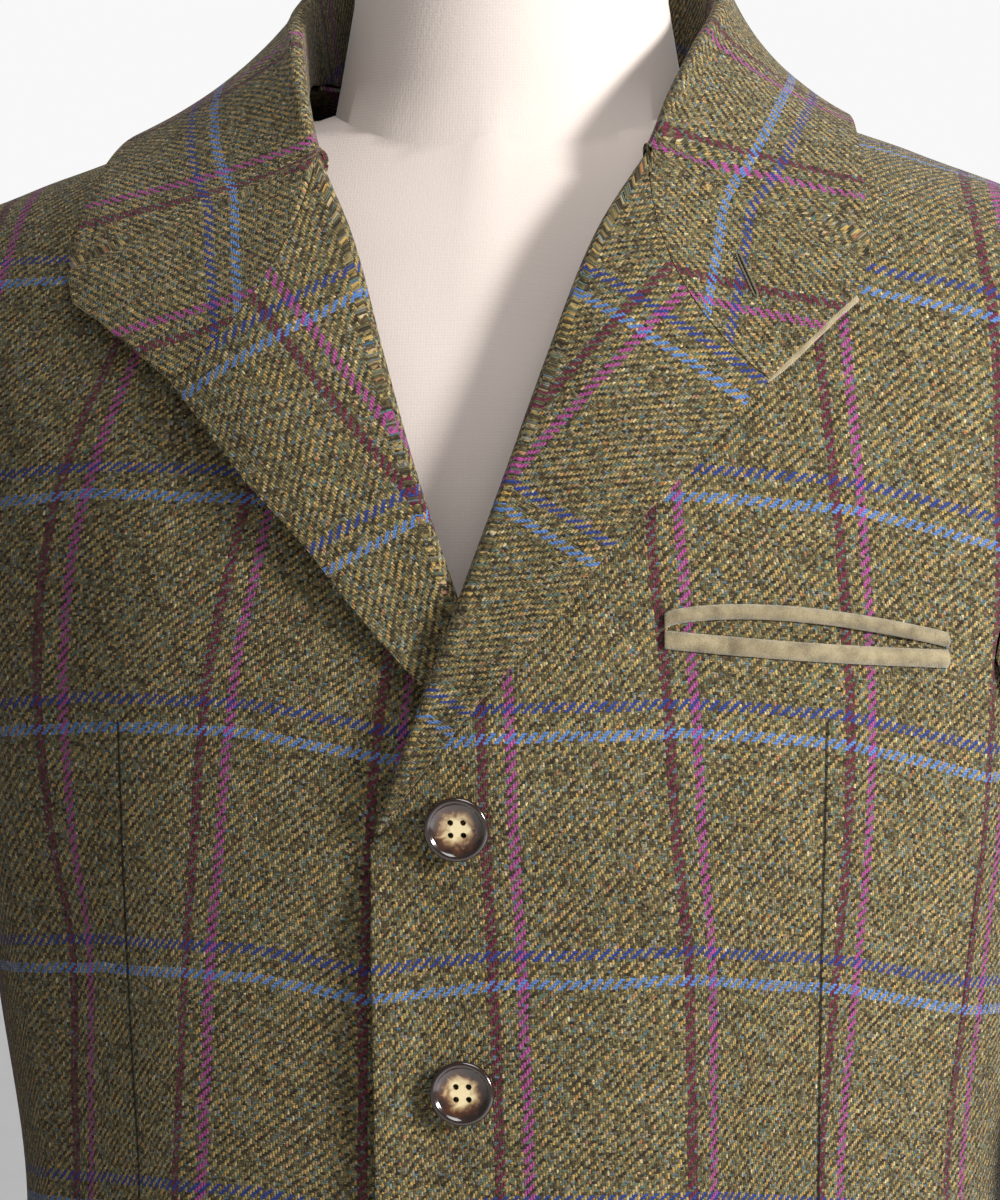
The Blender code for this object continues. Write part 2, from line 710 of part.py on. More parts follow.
def trunk_skin():
    """Search tree of the trunk's outer surface, with the left front's lift."""
    corners, faces = [], []

    def add_sheet(grid):
        base = len(corners)
        wide = len(grid[0])
        for row in grid:
            corners.extend(row)
        for i in range(len(grid) - 1):
            for j in range(wide - 1):
                a = base + i * wide + j
                faces.append((a, a + 1, a + 1 + wide, a + wide))

    levels = [CHEST_Z - 0.10 + 0.01 * i for i in range(10)]
    levels += [CHEST_Z + turn for turn in even(28)]
    for left in (True, False):
        for back in (False, True):
            grid = []
            for level in levels:
                row = []
                for share in even(30):
                    x = share * (SHOULDER_X + 0.004)
                    point = trunk(x, level, back)
                    lift = 0.0 if back else front_lift(x, point.z, left)
                    row.append(trunk(x, level, back, lift))
                grid.append(row if not back else list(reversed(row)))
            add_sheet(grid if left else mirrored(grid))
    return BVHTree.FromPolygons(corners, faces)


def height_over(skin, point):
    """Height of a point over the trunk, with the trunk's nearest point and direction."""
    near, normal, _, _ = skin.find_nearest(point)
    return (point - near).dot(normal), near, normal


def settle(skin, point, lift):
    """Move a point out until it clears the trunk by lift."""
    height, near, normal = height_over(skin, point)
    return point if height >= lift else near + normal * lift


def neckline(share, left):
    """Point on the neckline's edge and the direction out of the cloth there."""
    if share <= COLLAR_NECK_SHARE:
        x = NECK_SIDE_X * math.sin(share / COLLAR_NECK_SHARE * math.pi / 2)
        drop = NECK_DROP * max(1 - (x / NECK_SIDE_X) ** 2, 0.0) ** 0.5
        level = CHEST_Z + 1 - drop
        return trunk(x, level, True, -CLOTH / 2), trunk_normal(x, level, True)
    front = (share - COLLAR_NECK_SHARE) / (1 - COLLAR_NECK_SHARE)
    z = mix(NECK_SIDE_Z - 0.0005, GORGE_Z, front)
    x = roll_x(z) + TURN_RADIUS
    level = level_at(x, z)
    lift = front_lift(x, z, left) - CLOTH / 2
    return trunk(x, level, False, lift), trunk_normal(x, level, False)


def gorge_row(skin, left):
    """Visible face of the collar's end: up the gorge seam, then out to the corner."""
    below, _ = lapel_row(0.97, left, CLOTH)
    outer, _ = lapel_row(1.0, left, CLOTH)
    upward = (outer[0] - below[0]).normalized() * GORGE_GAP
    outer = [point + upward for point in outer]
    fold = outer[: len(FOLD_TURNS)]
    first = mix(fold[0], neckline(1.0, left)[0], 0.5)
    seam = outer[len(FOLD_TURNS):]
    leaf = []
    for i in range(GORGE_POINTS):
        place = (i + 1) / GORGE_POINTS * (len(seam) - 1)
        low = min(int(place), len(seam) - 2)
        leaf.append(mix(seam[low], seam[low + 1], place - low))
    shift = COLLAR_SHIFT if left else -COLLAR_SHIFT
    x, z = COLLAR_CORNER.x + shift, COLLAR_CORNER.z
    corner = trunk(x, level_at(x, z), False, front_lift(x, z, left) + LEAF_LIFT)
    middle = settle(skin, mix(leaf[-1], corner, 0.5), LEAF_LIFT)
    return [mix(first, fold[0], 0.3), mix(first, fold[0], 0.7)] + fold + leaf + [middle, corner]


def collar_row(skin, share, left):
    """Visible face of the collar from its seam over the fold to its free edge."""
    row = spline(COLLAR, share)
    base, normal = neckline(share, left)
    fold = Vector((row.fold_x, row.fold_y, row.fold_z))
    shift = COLLAR_SHIFT if left else -COLLAR_SHIFT
    edge = Vector((row.edge_x + shift * smooth(0.2, 0.6, share), row.edge_y, row.edge_z))
    _, near, direction = height_over(skin, edge)
    edge = near + direction * LEAF_LIFT
    radius = TURN_RADIUS + CLOTH / 2
    gorge = smooth(0.78, 1.0, share)
    up = mix((fold - base).normalized(), Vector((-0.1, 0.4, 0.9)), gorge).normalized()
    outward = mix(Vector((fold.x, fold.y, 0.0)).normalized(), normal, gorge)
    outward = (outward - up * outward.dot(up)).normalized()
    root = base + up * (CLOTH / 2 + SEAM_GAP) - outward * CLOTH / 2
    neck_face = fold - outward * radius - up * radius
    points = [root, mix(root, neck_face, 0.5)]
    for turn in FOLD_TURNS:
        angle = math.radians(turn)
        points.append(
            neck_face + outward * radius * (1 - math.cos(angle)) + up * radius * math.sin(angle)
        )
    start = neck_face + outward * 2 * radius
    bend = (start + edge) / 2 - Vector((0, 0, 0.004)) - outward * 0.004 * (1 - gorge)
    for t in LEAF_SHARES:
        point = start * (1 - t) ** 2 + bend * 2 * t * (1 - t) + edge * t**2
        points.append(settle(skin, point, LEAF_LIFT))
    return points


def collar_half(skin, left):
    """Rows of half of the collar, from the middle of the back to the gorge."""
    rows = [collar_row(skin, share, left) for share in COLLAR_RINGS[:-1]]
    last, end = rows[-1], gorge_row(skin, left)
    stand = len(end) - len(LEAF_SHARES)
    for step in range(1, FAN_ROWS + 1):
        row = [mix(a, b, step / (FAN_ROWS + 1)) for a, b in zip(last, end)]
        rows.append(row[:stand] + [settle(skin, point, LEAF_LIFT) for point in row[stand:]])
    return rows + [end]


def collar_grid(skin):
    """Visible face of the collar from the wearer's right gorge round to the left."""
    right = [[Vector((-p.x, p.y, p.z)) for p in row] for row in collar_half(skin, False)[1:]]
    return list(reversed(right)) + collar_half(skin, True)


def build_collar(skin):
    """Collar in one piece, and the undercollar that lines its leaf."""
    face = collar_grid(skin)
    normals = grid_normals(face)

    def below(depth, columns):
        return [
            [row[j] + line[j] * depth for j in columns] for row, line in zip(face, normals)
        ]

    every = range(len(face[0]))
    wall("collar", below(0.0, every), below(CLOTH, every), "tweed")
    leaf = range(len(face[0]) - len(LEAF_SHARES), len(face[0]))
    top = below(CLOTH + SEAM_GAP, leaf)
    bottom = below(CLOTH + SEAM_GAP + MELTON, leaf)
    for grid in (top, bottom):
        last = grid[-1]
        corner, inner = last[-1].copy(), last[GORGE_POINTS - 1].copy()
        out = Vector((corner.z - inner.z, 0.0, inner.x - corner.x)).normalized()
        for j in range(GORGE_POINTS - 1, len(last)):
            last[j] += out * MELTON_SHOWS
    wall("undercollar", top, bottom, "melton")


# ---------------------------------------------------------------- pockets
POCKET_STEPS = 12
WELT_PROFILE = (0.35, 0.90, 1.00, 0.85, 0.35)


def pocket_line(share):
    """Place along the breast pocket: x, height of the slit's lower lip and its gape."""
    x = mix(*POCKET_X, share)
    lip = mix(*POCKET_Z, share) - LIP_SAG * math.sin(math.pi * share)
    gape = POCKET_GAPE * max(math.sin(math.pi * share**0.85), 0.0) ** 0.8
    return x, lip, gape


def strip(name, low, high, thick, profile, material):
    """Lay a padded strip on the left front between two heights given by a share."""
    outer, inner = [], []
    for j, pad in enumerate(profile):
        across = j / (len(profile) - 1)
        row_outer, row_inner = [], []
        for share in even(POCKET_STEPS):
            x = mix(*POCKET_X, share)
            z = mix(low(share), high(share), across)
            base = front_lift(x, z, True) + WELT_CLEAR
            row_outer.append(trunk(x, level_at(x, z), False, base + thick * pad))
            row_inner.append(trunk(x, level_at(x, z), False, base))
        outer.append(row_outer)
        inner.append(row_inner)
    wall(name, outer, inner, material)


def build_breast_pocket():
    """Two curved welts on the wearer's left, with the facing in the slit between them."""

    def lip(share):
        return pocket_line(share)[1]

    def upper(share):
        return lip(share) + pocket_line(share)[2]

    gap = SEAM_GAP
    strip("welt_lower", lambda s: lip(s) - WELT_LOWER, lambda s: lip(s) - gap, WELT_THICK,
          WELT_PROFILE, "moleskin")
    strip("welt_upper", lambda s: upper(s) + gap, lambda s: upper(s) + WELT, WELT_THICK,
          WELT_PROFILE, "moleskin")


def flap_grid(left, rise):
    """Grid of a slanted hip flap, drawn on the wearer's left, over either front."""
    line = Vector((FLAP_X[1] - FLAP_X[0], FLAP_Z[1] - FLAP_Z[0]))
    down = Vector((line.y, -line.x)).normalized()
    rows = []
    for fall in (1.0, 0.92, 0.6, 0.3, 0.0):
        row = []
        for share in (0.0, 0.03, 0.10, 0.22, 0.36, 0.5, 0.64, 0.78, 0.90, 0.97, 1.0):
            end = min(share, 1 - share)
            round_end = 1 - 0.16 * (1 - smooth(0.0, 0.10, end)) * fall**2
            place = Vector((FLAP_X[0], FLAP_Z[0])) + line * share + down * FLAP_DROP * fall * round_end
            lift = front_lift(place.x, place.y, left) + rise
            row.append(trunk(place.x, place.y, False, lift))
        rows.append(row)
    return rows


def build_flaps():
    """Flap over each hip pocket."""
    for left, name in ((True, "flap_left"), (False, "flap_right")):
        grids = [flap_grid(left, FLAP_CLEAR + CLOTH), flap_grid(left, FLAP_CLEAR)]
        if not left:
            grids = [mirrored(grid) for grid in grids]
        wall(name, *grids, "tweed")


# ---------------------------------------------------------------- buttons
BUTTON_SIDES = 20
ProfilePoint = namedtuple("ProfilePoint", "radius height")
BUTTON_PROFILE = (
    ProfilePoint(0.0085, 0.0000),
    ProfilePoint(0.0110, 0.0012),
    ProfilePoint(BUTTON_RADIUS, 0.0026),
    ProfilePoint(0.0110, 0.0042),
    ProfilePoint(0.0098, 0.0044),
    ProfilePoint(0.0086, 0.0034),
    ProfilePoint(0.0060, 0.0025),
)


def turned(profile, sides):
    """Closed bmesh of a profile turned round the Z axis, with flat ends."""
    bm = bmesh.new()
    rings = []
    for point in profile:
        ring = []
        for i in range(sides):
            angle = 2 * math.pi * i / sides
            ring.append(bm.verts.new((
                point.radius * math.cos(angle), point.radius * math.sin(angle), point.height
            )))
        rings.append(ring)
    for low, high in zip(rings, rings[1:]):
        for i in range(sides):
            j = (i + 1) % sides
            bm.faces.new((low[i], low[j], high[j], high[i]))
    bm.faces.new(list(reversed(rings[0])))
    bm.faces.new(rings[-1])
    bmesh.ops.recalc_face_normals(bm, faces=bm.faces)
    return bm


def build_buttons():
    """Three four-hole buttons down the middle of the left front."""
    cutter_bm = bmesh.new()
    for sx in (-1, 1):
        for sz in (-1, 1):
            made = bmesh.ops.create_cone(
                cutter_bm, cap_ends=True, segments=8, radius1=BUTTON_HOLE_RADIUS,
                radius2=BUTTON_HOLE_RADIUS, depth=0.02,
            )
            bmesh.ops.translate(
                cutter_bm, verts=made["verts"],
                vec=(sx * BUTTON_HOLE_OFFSET, sz * BUTTON_HOLE_OFFSET, 0.0),
            )
    holes = add_object("button_holes", cutter_bm, "horn")
    holes.hide_render = True
    holes.display_type = "WIRE"
    for number, z in enumerate(BUTTON_Z, start=1):
        button = add_object(f"button_{number}", turned(BUTTON_PROFILE, BUTTON_SIDES), "horn")
        seats = [
            trunk(x, height, False, front_lift(x, height, True))
            for x, height in ((-0.008, z), (0.008, z), (0.0, z - 0.008), (0.0, z + 0.008))
        ]
        direction = (seats[1] - seats[0]).cross(seats[3] - seats[2]).normalized()
        button.location = sum(seats, Vector()) / len(seats) + direction * BUTTON_SHANK
        button.rotation_euler = direction.to_track_quat("Z", "Y").to_euler()
        cutter = holes if number == 1 else holes.copy()
        if number > 1:
            bpy.context.collection.objects.link(cutter)
        cutter.location = button.location
        cutter.rotation_euler = button.rotation_euler
        cut = button.modifiers.new("holes", "BOOLEAN")
        cut.operation = "DIFFERENCE"
        cut.object = cutter


# ---------------------------------------------------------------- dress form
FORM_COLUMNS = 12
FORM_LEVELS = (FORM_BOTTOM_Z, 0.815, 0.86, 0.92, 0.98, 1.04, 1.10, 1.16, 1.22, 1.27, 1.30)
FORM_TURNS = CAP_TURNS[:-1] + (0.97,)
NECK_SIDES = 24
NeckRow = namedtuple("NeckRow", "z y half_width half_depth")
NECK = (
    NeckRow(1.430, -0.006, 0.074, 0.066),
    NeckRow(1.485, -0.004, 0.064, 0.056),
    NeckRow(1.515, -0.004, 0.059, 0.053),
    NeckRow(1.560, -0.006, 0.057, 0.053),
    NeckRow(NECK_TOP_Z - 0.006, -0.008, 0.057, 0.053),
    NeckRow(NECK_TOP_Z, -0.008, 0.052, 0.048),
)


def form_clearance(turn, x):
    """Depth of the form under the cloth's outer face: close on the shoulders alone."""
    shoulder = smooth(0.45, 1.0, turn) * smooth(NECK_SIDE_X, NECK_SIDE_X + 0.035, abs(x))
    return mix(CLOTH + FORM_CLEAR, CLOTH + FORM_SEAT, shoulder)


def form_ring(level, shrink):
    """Ring round the form: the front from right to left, then the back."""
    turn = max(level - CHEST_Z, 0.0)
    ring = []
    for back in (False, True):
        if level <= CHEST_Z - 0.04:
            reach = SEAM_SHARE * spline(TRUNK, level).half_width
        else:
            reach = armhole_x(max(level, CHEST_Z - 0.001), back) - 0.006
        for share in even(FORM_COLUMNS):
            x = mix(-reach, reach, share) * (-1 if back else 1)
            ring.append(trunk(x, level, back, -form_clearance(turn, x) - shrink))
        end = ring[-1]
        side = -1 if back else 1
        if level <= CHEST_Z - 0.04:
            half_width = spline(TRUNK, level).half_width - CLOTH - FORM_CLEAR - shrink
            middle = Vector((side * half_width, 0, level))
        else:
            other = trunk(side * reach, level, not back, -form_clearance(turn, reach) - shrink)
            middle = mix(end, other, 0.5)
        ring.append(middle)
    return ring


def build_form():
    """Dress form with its neck, on a pole and a round base."""
    bm = bmesh.new()
    bottom = form_ring(FORM_LEVELS[0], FORM_ROUND)
    rings = [[bm.verts.new((p.x, p.y, FORM_BOTTOM_Z)) for p in bottom]]
    for level in FORM_LEVELS[1:]:
        rings.append([bm.verts.new(p) for p in form_ring(level, 0.0)])
    for turn in FORM_TURNS:
        rings.append([bm.verts.new(p) for p in form_ring(CHEST_Z + turn, 0.0)])
    count = len(rings[0])
    for low, high in zip(rings, rings[1:]):
        for i in range(count):
            j = (i + 1) % count
            bm.faces.new((low[i], low[j], high[j], high[i]))
    bm.faces.new(list(reversed(rings[0])))
    top = rings[-1]
    half = FORM_COLUMNS + 2
    for i in range(FORM_COLUMNS):
        a, b = top[i], top[i + 1]
        c, d = top[half + FORM_COLUMNS - i - 1], top[half + FORM_COLUMNS - i]
        bm.faces.new((a, b, c, d))
    bm.faces.new((top[FORM_COLUMNS], top[FORM_COLUMNS + 1], top[half]))
    bm.faces.new((top[half + FORM_COLUMNS], top[half + FORM_COLUMNS + 1], top[0]))
    torso = add_object("form_torso", bm, "form_cloth")

    neck_bm = bmesh.new()
    rings = []
    for row in NECK:
        ring = []
        for i in range(NECK_SIDES):
            angle = 2 * math.pi * i / NECK_SIDES
            ring.append(neck_bm.verts.new((
                row.half_width * math.cos(angle), row.y + row.half_depth * math.sin(angle), row.z
            )))
        rings.append(ring)
    for low, high in zip(rings, rings[1:]):
        for i in range(NECK_SIDES):
            j = (i + 1) % NECK_SIDES
            neck_bm.faces.new((low[i], low[j], high[j], high[i]))
    neck_bm.faces.new(list(reversed(rings[0])))
    neck_bm.faces.new(rings[-1])
    neck = add_object("form_neck", neck_bm, "form_cloth")
    neck.hide_render = True
    neck.display_type = "WIRE"
    join = torso.modifiers.new("neck", "BOOLEAN")
    join.operation = "UNION"
    join.solver = "MANIFOLD"
    join.object = neck

    pole = (
        ProfilePoint(POLE_RADIUS, BASE_THICK + SEAM_GAP),
        ProfilePoint(POLE_RADIUS, FORM_BOTTOM_Z - SEAM_GAP),
    )
    add_object("stand_pole", turned(pole, 20), "stand_wood")
    base = (
        ProfilePoint(BASE_RADIUS, 0.0),
        ProfilePoint(BASE_RADIUS, BASE_THICK * 0.6),
        ProfilePoint(BASE_RADIUS - 0.010, BASE_THICK),
    )
    add_object("stand_base", turned(base, 40), "stand_wood")


def build_jacket():
    """Build the jacket's pieces and the form under it."""
    build_fronts()
    build_sides()
    build_backs()
    build_sleeves()
    build_lapels()
    build_collar(trunk_skin())
    build_breast_pocket()
    build_flaps()
    build_buttons()
    build_form()


clear_scene()
build_jacket()
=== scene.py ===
"""Looks of a checked tweed jacket on a limbless dress form.

Metres, +Z up, +X the wearer's left, the jacket faces -Y.  Every cloth piece is a thin
shell on the trunk's own surface, with a map that measures the cloth in metres along its
warp and weft, so the weave and the windowpane check follow each piece as it was cut.
"""

import logging
import math
from collections.abc import Callable, Sequence
from dataclasses import dataclass, field
from enum import Enum
from functools import lru_cache
from typing import Any, NamedTuple

import bmesh
import bpy
from mathutils import Matrix, Vector, noise
from mathutils.bvhtree import BVHTree


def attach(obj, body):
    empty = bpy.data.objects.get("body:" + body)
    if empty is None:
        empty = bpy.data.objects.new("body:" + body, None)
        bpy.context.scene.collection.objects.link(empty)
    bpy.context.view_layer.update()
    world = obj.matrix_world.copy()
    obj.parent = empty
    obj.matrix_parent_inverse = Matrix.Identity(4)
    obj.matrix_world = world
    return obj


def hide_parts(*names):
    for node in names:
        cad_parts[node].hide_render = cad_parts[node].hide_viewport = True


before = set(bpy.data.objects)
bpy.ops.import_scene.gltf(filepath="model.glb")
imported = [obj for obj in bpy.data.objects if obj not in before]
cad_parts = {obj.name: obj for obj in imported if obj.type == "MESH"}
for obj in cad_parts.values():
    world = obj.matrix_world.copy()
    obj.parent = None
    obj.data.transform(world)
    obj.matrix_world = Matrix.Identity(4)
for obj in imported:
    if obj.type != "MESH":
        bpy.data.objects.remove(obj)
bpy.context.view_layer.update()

LOG = logging.getLogger("tweed_jacket")
BODY = "root"
CLOTH_MAP = "cloth"         # metres along the weft and the warp
EDGE_MAP = "edge"           # metres from the finished edge, and along it
MARK = "mark"               # metres from the dart's line, and above its top
FAR = 0.2                   # written where a piece has no finished edge or dart
MM = 0.001
FOLD_TURNS = tuple(range(16, 161, 18))      # degrees round a fold of the lapel or collar
FOLD_POINT = 3 + len(FOLD_TURNS) // 2       # three points of the stand come first

Grid = list[list[Vector]]
Pair = tuple[float, float]


class Side(Enum):
    """Side of the wearer."""

    LEFT = 1
    RIGHT = -1

    @property
    def word(self) -> str:
        """The side's name in a node."""
        return self.name.lower()


# ---------------------------------------------------------------- small mathematics
def smooth(low: float, high: float, value: float) -> float:
    """Rise smoothly from 0 at low to 1 at high."""
    t = min(max((value - low) / (high - low), 0.0), 1.0)
    return t * t * (3 - 2 * t)


def mix(a: Any, b: Any, t: float) -> Any:
    """Blend two numbers or vectors."""
    return a * (1 - t) + b * t


def power(value: float, exponent: float) -> float:
    """Raise a number to a power and keep its sign."""
    return math.copysign(abs(value) ** exponent, value)


def even(count: int) -> list[float]:
    """Return count + 1 even shares from 0 to 1."""
    return [i / count for i in range(count + 1)]


def crowded(count: int, pull: float = 1.6) -> list[float]:
    """Return shares from 0 to 1 that crowd towards both ends.

    Args:
        count: Number of steps.
        pull: 1 is even, more crowds harder.

    Returns:
        The count + 1 shares.
    """
    shares = []
    for t in even(count):
        near = 0.5 * (2 * min(t, 1 - t)) ** pull
        shares.append(near if t <= 0.5 else 1 - near)
    return shares


def hermite(a: Any, b: Any, slope_a: Any, slope_b: Any, t: float) -> Any:
    """Curve from a to b that leaves and arrives with the given slopes."""
    return (
        a * (2 * t**3 - 3 * t**2 + 1) + slope_a * (t**3 - 2 * t**2 + t)
        + b * (3 * t**2 - 2 * t**3) + slope_b * (t**3 - t**2)
    )


def bezier(a: Vector, bend: Vector, b: Vector, t: float) -> Vector:
    """Curve from a to b, drawn towards a bend."""
    return (1 - t) ** 2 * a + 2 * t * (1 - t) * bend + t**2 * b


def spline(table: Sequence[tuple], at: float) -> list[float]:
    """Read a smooth curve through the rows of a table whose first column is the key.

    Args:
        table: Rows in rising order of the key.
        at: Key to read at.

    Returns:
        The other columns' values there.
    """
    keys = [row[0] for row in table]
    at = min(max(at, keys[0]), keys[-1])
    last = max(i for i in range(len(keys) - 1) if keys[i] <= at)
    step = keys[last + 1] - keys[last]
    t = (at - keys[last]) / step

    def slope(i: int, column: int) -> float:
        """Slope of a column at row i."""
        low, high = max(i - 1, 0), min(i + 1, len(keys) - 1)
        return (table[high][column] - table[low][column]) / (keys[high] - keys[low])

    return [
        hermite(table[last][column], table[last + 1][column],
                slope(last, column) * step, slope(last + 1, column) * step, t)
        for column in range(1, len(table[0]))
    ]


def straight(table: Sequence[Pair], at: float) -> float:
    """Read a broken line through pairs, and carry its end slopes on beyond them."""
    last = 0
    for i in range(len(table) - 1):
        if table[i][0] <= at:
            last = i
    (x0, y0), (x1, y1) = table[last], table[last + 1]
    return y0 + (y1 - y0) * (at - x0) / (x1 - x0)


def bump(x: float, z: float, centre: Pair, reach: Pair) -> float:
    """A soft swelling of height 1 round a centre."""
    return math.exp(-(((x - centre[0]) / reach[0]) ** 2) - ((z - centre[1]) / reach[1]) ** 2)


def ripple(x: float, z: float, counts: Pair, seed: float) -> float:
    """Random unevenness between -1 and 1, with counts of it to the metre."""
    return noise.noise(Vector((x * counts[0], z * counts[1], seed)))


# ---------------------------------------------------------------- the trunk's surface
class TrunkRow(NamedTuple):
    """Half width and depths of the trunk at one height."""

    z: float
    half_width: float
    front_depth: float
    back_depth: float


@dataclass(frozen=True)
class Trunk:
    """The surface that the fronts, sides and backs lie on.

    A level up to chest_z is a height. Above it, chest_z plus a turn from 0 to 1 leads
    over the chest or the shoulder blades to the shoulder seam.
    """

    chest_z: float = 1.300
    neck_side: Pair = (0.073, 1.487)
    shoulder_x: float = 0.228
    shoulder_slope: float = 0.364
    shoulder_y: float = 0.006
    round: float = 0.87
    seam_share: float = 0.90
    rows: tuple[TrunkRow, ...] = (
        TrunkRow(0.735, 0.238, 0.144, 0.142),
        TrunkRow(0.820, 0.222, 0.137, 0.137),
        TrunkRow(0.910, 0.204, 0.130, 0.124),
        TrunkRow(1.000, 0.188, 0.124, 0.102),
        TrunkRow(1.070, 0.183, 0.122, 0.092),
        TrunkRow(1.150, 0.194, 0.130, 0.098),
        TrunkRow(1.220, 0.203, 0.137, 0.110),
        TrunkRow(1.300, 0.209, 0.137, 0.121),
        TrunkRow(1.360, 0.225, 0.131, 0.124),
        TrunkRow(1.430, 0.262, 0.121, 0.122),
        TrunkRow(1.520, 0.300, 0.112, 0.118),
    )

    @lru_cache(maxsize=None)
    def section(self, z: float) -> TrunkRow:
        """The trunk's section at a height."""
        return TrunkRow(z, *spline(self.rows, z))

    def shoulder_z(self, x: float) -> float:
        """Height of the shoulder line at a distance from the middle."""
        return self.neck_side[1] - self.shoulder_slope * (abs(x) - self.neck_side[0])

    def ring_y(self, x: float, z: float, back: bool) -> float:
        """Depth of the section at x, in front or behind."""
        row = self.section(z)
        share = min(abs(x) / row.half_width, 1.0)
        depth = row.back_depth if back else -row.front_depth
        return depth * (1 - share ** (2 / self.round)) ** (self.round / 2)

    def point(self, x: float, level: float, back: bool) -> Vector:
        """Point of the surface at a level."""
        if level <= self.chest_z:
            return Vector((x, self.ring_y(x, level, back), level))
        angle = (1 - (level - self.chest_z)) * math.pi / 2
        height = self.shoulder_z(x) - self.chest_z
        z = self.chest_z + height * power(math.cos(angle), self.round)
        y = mix(self.shoulder_y, self.ring_y(x, z, back), power(math.sin(angle), self.round))
        return Vector((x, y, z))

    def level_at(self, x: float, z: float) -> float:
        """Level of the surface in front at a height."""
        if z <= self.chest_z:
            return z
        share = min((z - self.chest_z) / (self.shoulder_z(x) - self.chest_z), 1.0)
        return self.chest_z + 1 - math.acos(share ** (1 / self.round)) / (math.pi / 2)

    def normal(self, x: float, level: float, back: bool) -> Vector:
        """Outward direction of the surface."""
        dx, dl = 0.002, 0.004
        if level <= self.chest_z < level + dl:
            level = self.chest_z - dl
        across = self.point(x + dx, level, back) - self.point(x - dx, level, back)
        upward = self.point(x, level + dl, back) - self.point(x, level - dl, back)
        normal = across.cross(upward).normalized()
        return -normal if back else normal

    def at(self, x: float, level: float, back: bool, lift: float = 0.0) -> Vector:
        """Point on the surface, moved out by lift."""
        return self.point(x, level, back) + self.normal(x, level, back) * lift

    def side_point(self, share: float, z: float, lift: float = 0.0) -> Vector:
        """Point round the wearer's left side: share 0 at the front seam, 1 at the back."""
        edge = math.acos(self.seam_share ** (1 / self.round))

        def at(turn: float, height: float) -> Vector:
            """Point of the section at an angle from the side."""
            row = self.section(round(height, 6))
            depth = row.back_depth if turn > 0 else row.front_depth
            return Vector((
                row.half_width * power(math.cos(turn), self.round),
                depth * power(math.sin(turn), self.round),
                height,
            ))

        turn = mix(-edge, edge, share)
        around = at(turn + 0.01, z) - at(turn - 0.01, z)
        upward = at(turn, z + 0.003) - at(turn, z - 0.003)
        return at(turn, z) + around.cross(upward).normalized() * lift


TRUNK = Trunk()


